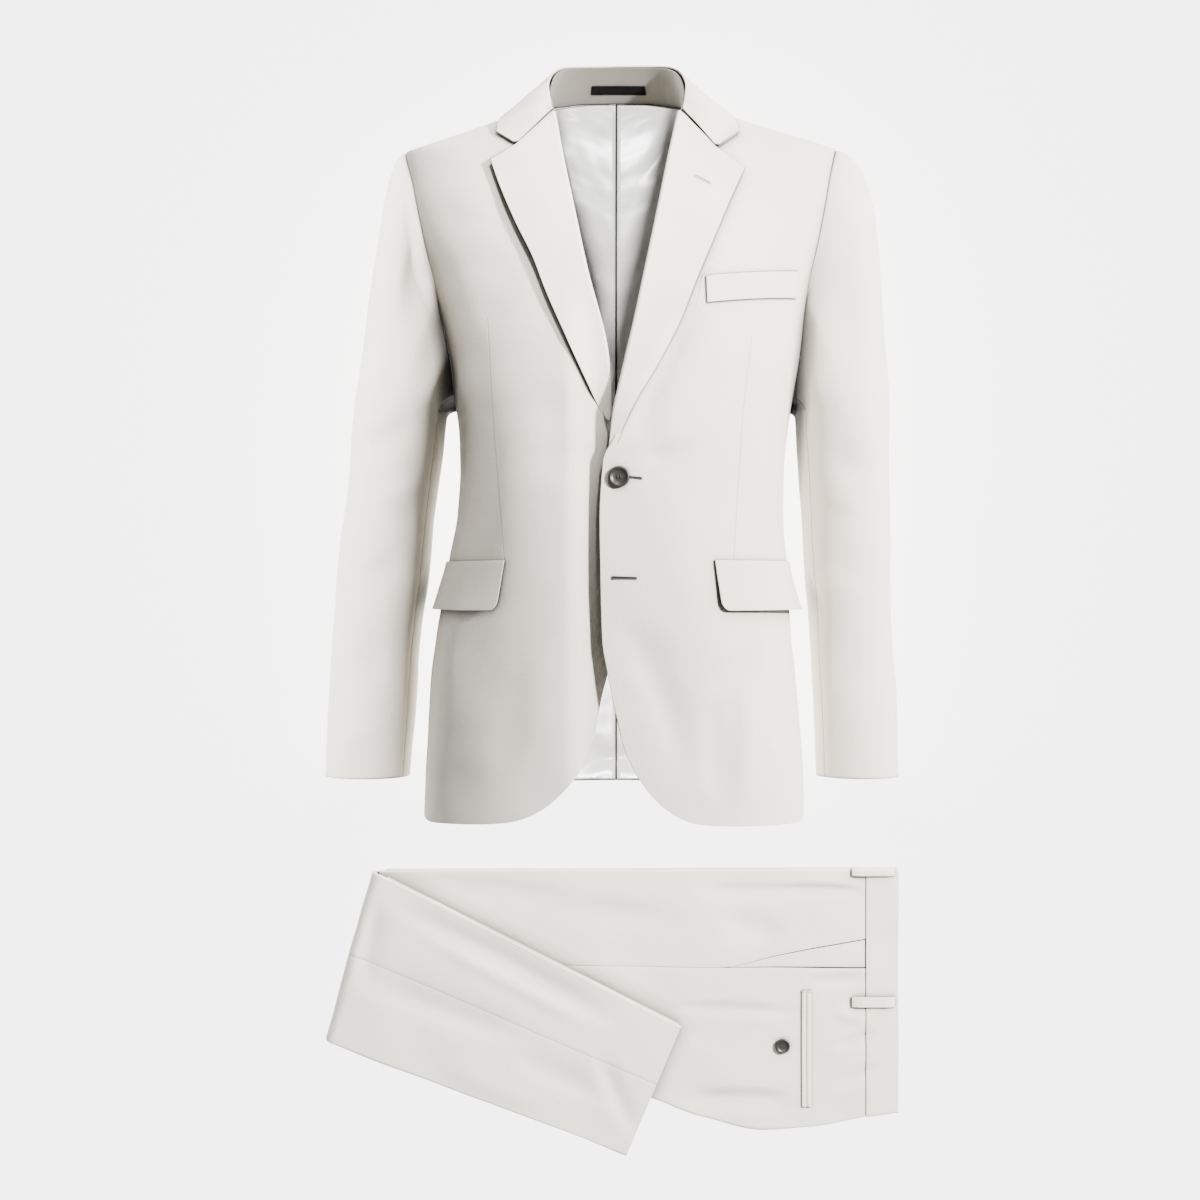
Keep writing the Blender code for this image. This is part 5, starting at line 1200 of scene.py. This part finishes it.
def flap(side, name):
    """The pocket flap: level along the front and round the side, standing off at its lower back corner."""
    size = FLAP[side]
    drop = size["top"] - size["low"]
    v, u = fine(drop)[:, None], fine(FLAP_LENGTH)[None, :]
    corner = np.clip((v * drop - drop + FLAP_CORNER) / FLAP_CORNER, 0, 1)
    inset = FLAP_CORNER * (1 - np.sqrt(1 - corner**2)) / FLAP_LENGTH
    run = inset + u * (1 - 2 * inset)
    y = size["top"] - drop * v + 0 * u
    turns = []
    for row, share in enumerate(v[:, 0]):
        start = side * blend(size["in_top"], size["in_low"], share)
        tries = spread(angle_of(start, y[row, 0], side), FLAP_BACK_T, FLAP_TRIES)
        path = round_body(tries, np.full(len(tries), y[row, 0]), side)
        turns.append(np.interp(run[row] * FLAP_LENGTH, lengths(path), tries))
    points, normals = body_frame(side, np.array(turns), y)
    along = FLAP_STAND["front"] + (1 - FLAP_STAND["front"]) * u ** FLAP_STAND["along"]
    lift = FLAP_CLEAR + FLAP_WALL + size["stands_off"] * v ** FLAP_STAND["down"] * along
    creased = folds(points[..., 0], points[..., 1], FRONT_FOLDS) * np.clip(normals[..., 2], 0, 1)
    lift = lift + creased + drift(points)
    grid = points + normals * lift[..., None]
    panel(f"pocket_flap_{name}", grid, normals, JACKET_AT, FLAP_WALL, seams=("bottom",))


def breast_welt():
    """The slanted welt of the breast pocket, laid on the left front."""
    top_in, top_out, low_out, low_in = (np.array(p) for p in WELT_CORNERS)
    u, v = fine(BREAST_WELT_SIZE[0])[None, :, None], fine(BREAST_WELT_SIZE[1])[:, None, None]
    plan = blend(low_in, low_out, u) * (1 - v) + blend(top_in, top_out, u) * v
    grid = np.dstack([plan, front_height(plan[..., 0], plan[..., 1], 1)])
    normals = outward(normals_of(grid), grid, np.array([0, 500.0, 100.0]))
    grid = ripple(grid, normals, FRONT_FOLDS, BACK_FOLDS)
    lifted = grid + normals * (LAYER_GAP + FLAP_WALL)
    panel("breast_welt", lifted, normals, JACKET_AT, FLAP_WALL, seams=("bottom", "first", "last"))


def turned(name, profile, surface):
    """A turned piece: a profile of radius and height in millimetres, from the top of its axis to the foot."""
    mesh = bpy.data.meshes.new(name)
    points = [(r * MM, 0, z * MM) for r, z in profile]
    mesh.from_pydata(points, [(i, i + 1) for i in range(len(points) - 1)], [])
    mesh.materials.append(surface)
    made = linked(name, mesh)
    screw = made.modifiers.new("turn", "SCREW")
    screw.steps = screw.render_steps = BUTTON_SIDES
    screw.use_merge_vertices = True
    screw.merge_threshold = 0.00001
    screw.use_smooth_shade = True
    mesh = baked(made)
    made.modifiers.clear()
    made.data = mesh
    return made


def button(name, place, normal, size, garment):
    """A four-hole button with a raised rim, sewn on with two bars of thread."""
    r, h = size["radius"], size["height"]
    made = turned(name, [(out * r, up * h) for out, up in BUTTON_PROFILE], HORN)
    drill_holes(made, r, h)
    spin = Vector((0, 0, 1)).rotation_difference(Vector(normal)).to_matrix().to_4x4()
    where = (Vector(place) + Vector((*garment, 0))) * MM + Vector(normal) * BUTTON_CLEAR * MM
    made.data.transform(Matrix.Translation(where) @ spin)
    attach(made, "root")
    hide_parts(name)
    aside, reach, up = (share * size for share, size in zip(STITCH, (r, r, h)))
    bars = [
        [(hand * aside, -reach, up), (hand * aside, 0, up + STITCH_RISE), (hand * aside, reach, up)]
        for hand in (-1, 1)
    ]
    threads = tube(f"{name}_thread", bars, STITCH_RADIUS * r, DARK_THREAD_AND_SHADE)
    threads.data.transform(Matrix.Translation(where) @ spin)


def drill_holes(obj, r, h):
    """Cuts the holes that a button is sewn on through."""
    holes = bmesh.new()
    radius = HOLES["radius"] * r * MM
    for hole in range(HOLES["count"]):
        angle = math.radians(HOLES["first"] + 360 * hole / HOLES["count"])
        at = Vector((math.cos(angle), math.sin(angle), 0)) * HOLES["out"] * r * MM
        bmesh.ops.create_cone(
            holes, cap_ends=True, segments=HOLES["sides"], radius1=radius, radius2=radius, depth=2 * h * MM,
            matrix=Matrix.Translation(at + Vector((0, 0, h / 2 * MM))),
        )
    mesh = bpy.data.meshes.new("holes")
    holes.to_mesh(mesh)
    holes.free()
    cutter = linked("holes", mesh)
    cut = obj.modifiers.new("holes", "BOOLEAN")
    cut.operation, cut.object = "DIFFERENCE", cutter
    drilled = baked(obj)
    obj.modifiers.clear()
    obj.data = drilled
    obj.data.set_sharp_from_angle(angle=math.radians(SHARP_FROM))
    bpy.data.objects.remove(cutter)


def tube(name, lines, radius, surface, sides=8):
    """Round threads along lines of points in millimetres, as one mesh."""
    points, faces = [], []
    turns = np.radians(spread(0, 360, sides)[:-1])
    for line in lines:
        line = np.array([tuple(p) for p in line], float)
        way = np.gradient(line, axis=0)
        way /= np.linalg.norm(way, axis=1, keepdims=True)
        aside = np.cross(way, (0.03, 0.05, 1.0))
        aside /= np.linalg.norm(aside, axis=1, keepdims=True)
        over = np.cross(aside, way)
        base = len(points)
        for p, a, o in zip(line, aside, over):
            points += [p + radius * (a * math.cos(t) + o * math.sin(t)) for t in turns]
        for i in range(len(line) - 1):
            for j in range(sides):
                a, b = base + i * sides + j, base + i * sides + (j + 1) % sides
                faces.append((a, b, b + sides, a + sides))
        points += [line[0], line[-1]]
        for j in range(sides):
            faces.append((base + (j + 1) % sides, base + j, len(points) - 2, len(points) - 2))
            end = base + (len(line) - 1) * sides
            faces.append((end + j, end + (j + 1) % sides, len(points) - 1, len(points) - 1))
    mesh = bpy.data.meshes.new(name)
    mesh.from_pydata((np.array(points) * MM).tolist(), [], [tuple(dict.fromkeys(f)) for f in faces])
    mesh.materials.append(surface)
    mesh.shade_smooth()
    made = linked(name, mesh)
    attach(made, "root")
    return made


def height_on(carriers, x, y, garment):
    """How high the highest of some pieces lies at a point in plan, by rays from above."""
    start, down = Vector(((x + garment[0]) * MM, (y + garment[1]) * MM, 1.0)), Vector((0, 0, -1))
    found = []
    for name in carriers:
        mesh = MADE[name].data
        tree = BVHTree.FromPolygons([v.co for v in mesh.vertices], [f.vertices for f in mesh.polygons])
        hit = tree.ray_cast(start, down)[0]
        if hit is not None:
            found.append(hit.z / MM)
    return max(found)


def buttonhole(name, carriers, start, end, garment, keyhole, stitches):
    """A sewn buttonhole: close stitches round a painted dark sheet of shade, wider at its start by its
    keyhole.
    """
    start, end = np.array(start), np.array(end)
    way = (end - start) / np.linalg.norm(end - start)
    aside = np.array([-way[1], way[0]])
    half, thick = BUTTONHOLE["half_width"], BUTTONHOLE["thread"]
    ring = []
    for middle, radius, turn in zip((start, end), (half + keyhole, half), BUTTONHOLE_TURNS):
        for t in np.radians(spread(*turn)):
            ring.append(middle + radius * (math.cos(t) * way + math.sin(t) * aside))
    ring.append(ring[0])
    lift = [height_on(carriers, *p, garment) for p in ring]
    shift = np.array([*garment, 0])
    line = [np.array([*p, z + thick * BUTTONHOLE["stands"]]) + shift for p, z in zip(ring, lift)]
    tube(name, [line], thick, stitches, 10)
    count = len(line) - 1
    # Painted shade: a flat dark sheet in the dark thread's material lies just over the cloth inside the ring,
    # for the shade of the cut.
    slit = bpy.data.meshes.new(f"{name}_slit")
    corners = [tuple((p + (0, 0, BUTTONHOLE["slit"])) * MM) for p in line[:-1]]
    slit.from_pydata(corners, [], [tuple(range(count))])
    slit.materials.append(DARK_THREAD_AND_SHADE)
    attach(linked(slit.name, slit), "root")


def bar_tack(name, carriers, start, end, garment):
    """A short bar of close stitches."""
    start, end = np.array(start, float), np.array(end, float)
    points = [blend(start, end, s) for s in spread(0, 1, 6)]
    shift = np.array([*garment, 0])
    stands = TACK_THICK * TACK_STANDS
    line = [np.array([*p, height_on(carriers, *p, garment) + stands]) + shift for p in points]
    tube(name, [line], TACK_THICK, PALE_THREAD, 10)


def front_buttons():
    """The fastened button on the left front, and the lower one on the right front, under the lap."""
    for name, side, (x, y) in (("front_button", 1, FRONT_BUTTON_AT), ("lower_button", -1, HIDDEN_BUTTON_AT)):
        z = float(front_height(x, y, side))
        low, high = (float(front_height(x + over, y, side)) for over in (-SLOPE_OVER, SLOPE_OVER))
        slope = (high - low) / (2 * SLOPE_OVER)
        normal = Vector((-slope, 0, 1)).normalized()
        button(name, (x, y, z), normal, FRONT_BUTTON, JACKET_AT)
    for name, start, end, keyhole in BUTTONHOLES:
        stitches = PALE_THREAD if name.startswith("lapel") else DARK_THREAD_AND_SHADE
        buttonhole(name, ("front_left", "lapel_left"), start, end, JACKET_AT, keyhole, stitches)


def seam_share(front, back, table):
    """How far across a leg, from the front crease, the line of a table lies."""
    share = 0.4
    for _ in range(3):
        x = blend(front[0], back[0], share)
        share = (table.at("y", x) - front[1]) / (back[1] - front[1])
    return float(share)


def crease_point(crease, x):
    return np.array([x, float(LEG.at(crease, x))])


def upper_rows(stops):
    """Front and back crease points of the upper leg, at shares of its length from the fold to the waist."""
    front, back = (blend(corner[0], WAIST_SEAM_X, stops) for corner in (FOLD_TOP, FOLD_LOW))
    return [(crease_point("front", x), crease_point("back", far_x)) for x, far_x in zip(front, back)]


def folded_rows(stops):
    """The same across the folded leg, from the middle of the bend to the hem."""
    fold_top, fold_low = np.array(FOLD_TOP), np.array(FOLD_LOW)
    start = BEND_OUT * BEND_RADIUS
    rows = []
    for stop in stops:
        front = (fold_top - start) * (1 - stop) + np.array(HEM_TOP) * stop
        back = (fold_low - start) * (1 - stop) + np.array(HEM_LOW) * stop
        rows.append((front, back))
    return rows


def sheet_grid(rows, tops, inwards, at, crease):
    """The outer face of one panel of a leg: flat from its seam to its crease, then round the crease.

    rows holds the two crease points of each section, tops its height and place along the bend, inwards the
    direction into the leg, and at where the panel's seam lies across the leg."""
    turns = np.radians(spread(0, CREASE_TURN, CREASE_STEPS))[1:]
    across = fine(PANEL_WIDTH)
    grid = []
    for (front, back), top, inward, share in zip(rows, tops, inwards, at):
        width = np.linalg.norm(back - front)
        way = (back - front) / width
        edge, towards = (front, way) if crease == "front" else (back, -way)
        reach = width * (share if crease == "front" else 1 - share)
        distance = np.concatenate([blend(reach, CREASE_RADIUS, across), CREASE_RADIUS * (1 - np.sin(turns))])
        depth = np.concatenate([0 * across, CREASE_RADIUS * (1 - np.cos(turns))])
        plan = edge + towards * distance[:, None]
        grid.append(np.column_stack([plan, 0 * depth]) + top + inward * depth[:, None])
    return np.array(grid)


def leg_normals(grid, inwards):
    """Unit normals of a leg's panel, pointing out of the leg."""
    normals = normals_of(grid)
    facing = -np.array(inwards)[:, None]
    return normals if (normals[:, :2] * facing).sum() > 0 else -normals


def upper_leg():
    """The left leg's outer panels, on top from fold to waist, and the facing in the slanted pocket."""
    rows = upper_rows(blend(UPPER_FROM, 1, fine(UPPER_LENGTH)))
    top, down = np.array([0, 0, LEG_TOP]), np.array([0, 0, -1.0])
    tops, inwards = [top] * len(rows), [down] * len(rows)
    for name, table, crease in (("front", FRONT_PANEL_EDGE, "front"), ("back", SIDE_SEAM, "back")):
        at = [seam_share(front, back, table) for front, back in rows]
        grid = sheet_grid(rows, tops, inwards, at, crease)
        normals = leg_normals(grid, inwards)
        grid = ripple(grid, normals, LEG_FOLDS, LEG_FOLDS)
        panel(f"trouser_left_{name}", grid, normals, TROUSERS_AT, TROUSER_WALL, seams=("top", "first"))
    x = blend(POCKET_FROM_X, WAIST_SEAM_X, fine(POCKET_SIZE[0]))
    mouth, seam = FRONT_PANEL_EDGE.at("y", x), SIDE_SEAM.at("y", x)
    gap = np.minimum(FACING_GAP_SHARE * (mouth - seam), FACING_GAP) + SEAM / 2
    y = blend((mouth - gap)[:, None], (seam + gap)[:, None], fine(POCKET_SIZE[1]))
    facing = np.dstack([x[:, None] + 0 * y, y, np.full_like(y, FACING_TOP)])
    facing[..., 2] += drift(facing) + folds(facing[..., 0], facing[..., 1], LEG_FOLDS)
    panel("pocket_facing", facing, upward(facing), TROUSERS_AT, FACING_WALL, seams=("top", "last"))


def folded_leg():
    """The right leg's outer panels, on top from the hem to the fold and round the bend to the table."""
    stops = 1 - fine(FOLDED_LENGTH)[: 1 - len(RIM)]
    rows = folded_rows(stops)
    tops = [np.array([0, 0, 2 * BEND_RADIUS])] * len(rows)
    inwards = [np.array([0, 0, -1.0])] * len(rows)
    out = np.array([*BEND_OUT, 0])
    middle = folded_rows([0])[0]
    for angle in np.radians(spread(90, BEND_END, BEND_STEPS)):
        way = out * math.cos(angle) + np.array([0, 0, math.sin(angle)])
        rows.append(middle)
        tops.append(way * BEND_RADIUS + np.array([0, 0, BEND_RADIUS]))
        inwards.append(-way)
    on_leg = np.concatenate([1 - stops, np.ones(BEND_STEPS + 1)])
    at = blend(HEM_SEAM_SHARE, FOLD_SEAM_SHARE, on_leg)
    for crease in ("front", "back"):
        grid = sheet_grid(rows, tops, inwards, at, crease)
        normals = leg_normals(grid, inwards)
        grid = ripple(grid, normals, FOLDED_FOLDS, FOLDED_FOLDS)
        panel(f"trouser_right_{crease}", grid, normals, TROUSERS_AT, TROUSER_WALL, seams=("first",))


def layer_loop(front, back, low, high, tuck):
    """One closed section of the hidden layers: rounded edges, and room inside for the folds above."""
    way = (back - front) / np.linalg.norm(back - front)
    inset = np.append(LAYER_EDGE["inset"] + tuck, LAYER_ROOM["inset"])
    height = blend(low, high, np.append(LAYER_EDGE["height"], LAYER_ROOM["height"]))
    near = np.column_stack([front + way * inset[:, None], height])
    far = np.column_stack([back - way * inset[:, None], height])[::-1]
    return np.concatenate([near, far])


def bend_heights(distance):
    """How low and high the inside of the bend reaches, this far past its middle."""
    reach = math.sqrt((BEND_RADIUS - TROUSER_WALL - LAYER_GAP) ** 2 - distance**2)
    return BEND_RADIUS - reach, BEND_RADIUS + reach


def hidden_layers():
    """The layers that show only at their edges: under the left leg's panels, and under the folded leg's."""
    thick = LEG_TOP - TROUSER_WALL - SEAM
    front, back = folded_rows([0])[0]
    lower, upper = [], []
    for distance, tuck in NOSE.rows:
        shift = BEND_OUT * distance
        low, high = bend_heights(distance)
        lower.append(layer_loop(front + shift, back + shift, low, thick, tuck))
        upper.append(layer_loop(front + shift, back + shift, FOLD_LIFT, high, tuck))
    for front, back in upper_rows(spread(*LAYER_ENDS)):
        lower.append(layer_loop(front, back, 0, thick, 0))
    for x, low, tuck in WAIST_LAYERS.rows:
        lower.append(layer_loop(crease_point("front", x), crease_point("back", x), low, thick, tuck))
    for front, back in folded_rows(spread(*FOLDED_LAYER_ENDS)):
        upper.append(layer_loop(front, back, FOLD_LIFT, FOLD_LIFT + thick, 0))
    loft("trouser_layers", lower, TROUSERS_AT)
    loft("folded_layers", upper, TROUSERS_AT)


def waistband():
    """The left half of the waistband on top and the right half on the table, meeting at both creases."""
    x = WAIST_SEAM_X + SEAM - (WAIST_SEAM_X + SEAM) * fine(36)
    arc = np.radians(spread(0, BAND_TURN, 10))[::-1]
    curl_in, curl_down = BAND_RADIUS * (1 - np.sin(arc)), BAND_RADIUS * (1 - np.cos(arc))
    for name, top, down in (("left", BAND_TOP, -1.0), ("right", 0.0, 1.0)):
        grid = []
        for a in x:
            front, back = float(LEG.at("front", a)), float(LEG.at("back", a))
            flat = spread(front - BAND_RADIUS, back + BAND_RADIUS, round(BAND_WIDTH / STEP))[1:-1]
            y = np.concatenate([front - curl_in, flat, back + curl_in[::-1]])
            z = np.concatenate([curl_down, 0 * flat, curl_down[::-1]]) * down + top
            grid.append(np.column_stack([np.full_like(y, a), y, z]))
        grid = np.array(grid)
        normals = facing_up(normals_of(grid), -down)
        if name == "left":
            grid = ripple(grid, normals, LEG_FOLDS, LEG_FOLDS)
        panel(f"waistband_{name}", grid, normals, TROUSERS_AT, BAND_WALL, seams=("bottom",))


def belt_loops():
    """Two loops over the waistband: one rolling over its front edge, one behind the side seam."""
    x = blend(LOOP_FROM_X, LOOP_TO_X, fine(LOOP_TO_X - LOOP_FROM_X))
    rise = LOOP_RISE * eased_in(np.minimum(x - LOOP_FROM_X, LOOP_TO_X - x), LOOP_RAMP)
    front = float(LEG.at("front", LOOP_AT_X))
    edge = [(y, 0) for y in spread(front - LOOP_WIDTH + LOOP_TUCK, front - BAND_RADIUS, 3)[:-1]]
    for angle in np.radians(spread(*LOOP_TURN)):
        out = LOOP_RADIUS * math.cos(angle)
        edge.append((front - BAND_RADIUS + out, LOOP_RADIUS * (math.sin(angle) - 1)))
    flat = [(y, 0) for y in blend(*SIDE_LOOP_Y, fine(SIDE_LOOP_Y[1] - SIDE_LOOP_Y[0]))]
    lift = BAND_TOP + SEAM + LOOP_WALL
    for name, across in (("front", edge), ("side", flat)):
        grid = np.array([[(a, y, lift + dz + up) for y, dz in across] for a, up in zip(x, rise)])
        panel(f"belt_loop_{name}", grid, facing_up(normals_of(grid)), TROUSERS_AT, LOOP_WALL)


def back_pocket():
    """The two welts of the back pocket, laid on the left back, and the pocket's button below them."""
    lift = LEG_TOP + SEAM + WELT_WALL
    y = blend(*BACK_WELT_Y, fine(BACK_WELT_Y[1] - BACK_WELT_Y[0]))
    run = fine(BACK_WELT_RUN)
    for name, start in (("upper", BACK_WELT_X + WELT_WIDTH + SEAM), ("lower", BACK_WELT_X)):
        x = start + WELT_WIDTH * run
        z = lift + WELT_ROUND * np.sin(math.pi * run) ** WELT_ROUND_POWER
        grid = np.array([[(a, b, c) for a, c in zip(x, z)] for b in y])
        grid[..., 2] += drift(grid) + folds(grid[..., 0], grid[..., 1], LEG_FOLDS)
        panel(f"back_pocket_welt_{name}", grid, upward(grid), TROUSERS_AT, WELT_WALL)
    button("back_pocket_button", (*BACK_BUTTON_AT, LEG_TOP), (0, 0, 1), TROUSER_BUTTON, TROUSERS_AT)
    under = ("back_pocket_welt_upper", "back_pocket_welt_lower", "trouser_left_back")
    across = (BACK_WELT_X - TACK_OUT, BACK_WELT_X + 2 * (WELT_WIDTH + TACK_OUT))
    for name, at in (("low", BACK_WELT_Y[0] + TACK_OUT), ("high", BACK_WELT_Y[1] - TACK_OUT)):
        bar_tack(f"pocket_tack_{name}", under, (across[0], at), (across[1], at), TROUSERS_AT)


def group(name, members):
    """A collection of pieces for a light to tell apart."""
    made = bpy.data.collections.new(name)
    for member in members:
        made.objects.link(member)
    return made


def studio():
    """A pale floor, the lights with what each one lights, and the camera straight above."""
    scene, pieces = bpy.context.scene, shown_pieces()
    corners = [(x * FLOOR_REACH, y * FLOOR_REACH, FLOOR_Z) for x, y in ((-1, -1), (1, -1), (1, 1), (-1, 1))]
    mesh = bpy.data.meshes.new("floor")
    mesh.from_pydata(corners, [], [(0, 1, 2, 3)])
    mesh.materials.append(plain_surface("floor_paint", FLOOR_COLOUR, 0.9))
    floor = linked("floor", mesh)
    inside = [o for o in pieces if o.name.startswith(INSIDE_NAMES)]
    trousers = [o for o in pieces if o.name.startswith(TROUSER_NAMES)]
    jacket = [o for o in pieces if o not in trousers]
    sleeves = [o for o in jacket if "sleeve" in o.name]
    right_sleeve = [o for o in sleeves if "right" in o.name]
    groups = {
        "jacket": group("jacket", jacket),
        "outside": group("outside", [o for o in jacket if o not in inside + right_sleeve]),
        "inside": group("inside", inside),
        "lining": group("lining", [o for o in inside if o.name.startswith("lining")]),
        "trousers": group("trousers", trousers),
        "right_sleeve": group("right_sleeve", right_sleeve),
        "left_sleeve": group("left_sleeve", [o for o in sleeves if o not in right_sleeve]),
        "floor": group("ground", [floor]),
    }
    floor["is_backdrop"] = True
    for name, kind, place, aim, power, size, lit, blocking in LIGHTS:
        data = bpy.data.lights.new(name, kind)
        data.energy = power
        if kind == "AREA":
            data.size = size
        else:
            data.shadow_soft_size, data.spot_size, data.spot_blend = size, math.radians(SPOT_ANGLE), 1.0
        lamp = linked(name, data)
        lamp.location = place
        lamp.rotation_euler = (Vector(aim) - Vector(place)).to_track_quat("-Z", "Y").to_euler()
        lamp.light_linking.receiver_collection = groups[lit]
        lamp.light_linking.blocker_collection = groups[blocking]
    world = bpy.data.worlds.new("studio")
    world.use_nodes = True
    world.node_tree.nodes["Background"].inputs["Color"].default_value = (1, 1, 1, 1)
    world.node_tree.nodes["Background"].inputs["Strength"].default_value = WORLD_STRENGTH
    scene.world = world
    data = bpy.data.cameras.new("camera")
    data.sensor_width, data.lens = SENSOR, SENSOR * CAMERA_AT[2] / VIEW_WIDTH
    scene.camera = linked("camera", data)
    scene.camera.location = CAMERA_AT


# Lights: name and kind, place and aim in metres, power and size, what it lights and what throws its shadow.
KEY_AT, MIDDLE = (2.05, 0.95, 1.95), (0.0, 0.0, 0.1)
LIGHTS = (
    ("key", "AREA", KEY_AT, MIDDLE, 410.0, 0.22, "outside", "jacket"),
    ("sleeve_key", "AREA", (-1.5, 0.9, 2.1), MIDDLE, 330.0, 0.3, "right_sleeve", "jacket"),
    ("sleeve_fill", "AREA", (-0.6, 0.6, 2.6), MIDDLE, 60.0, 0.3, "left_sleeve", "jacket"),
    ("trouser_key", "AREA", KEY_AT, MIDDLE, 480.0, 0.5, "trousers", "trousers"),
    ("trouser_top", "AREA", (0.0, 0.6, 2.9), MIDDLE, 60.0, 0.8, "trousers", "trousers"),
    ("chest", "SPOT", (0.5, 1.9, 1.9), (-0.05, 0.37, 0.15), 720.0, 0.10, "outside", "jacket"),
    ("inner_key", "AREA", KEY_AT, MIDDLE, 70.0, 0.22, "inside", "jacket"),
    ("neck", "AREA", (0.03, -0.75, 2.4), MIDDLE, 235.0, 0.2, "lining", "jacket"),
    ("floor_light", "AREA", (0.0, 0.3, 5.0), MIDDLE, 1850.0, 4.0, "floor", "floor"),
)
SPOT_ANGLE = 13.0

# How the names of the pieces start that the lights tell apart.
INSIDE_NAMES = ("lining", "collar_stand", "neck_tape")
TROUSER_NAMES = ("trouser", "folded", "waistband", "belt_loop", "back_pocket", "pocket_facing", "pocket_tack")

# The soft light from all sides, the floor's level and half size, and the camera.
WORLD_STRENGTH = 0.22
FLOOR_Z, FLOOR_REACH = -0.0005, 6.0
CAMERA_AT, VIEW_WIDTH, SENSOR = (-0.013, 0.015, 1.850), 1.344, 36.0

for side_name, side_hand in (("left", 1), ("right", -1)):
    body(side_hand, side_name)
    lapel(side_hand, side_name)
    flap(side_hand, side_name)
collar()
neck_label()
breast_welt()
front_buttons()
upper_leg()
folded_leg()
hidden_layers()
waistband()
belt_loops()
back_pocket()
studio()
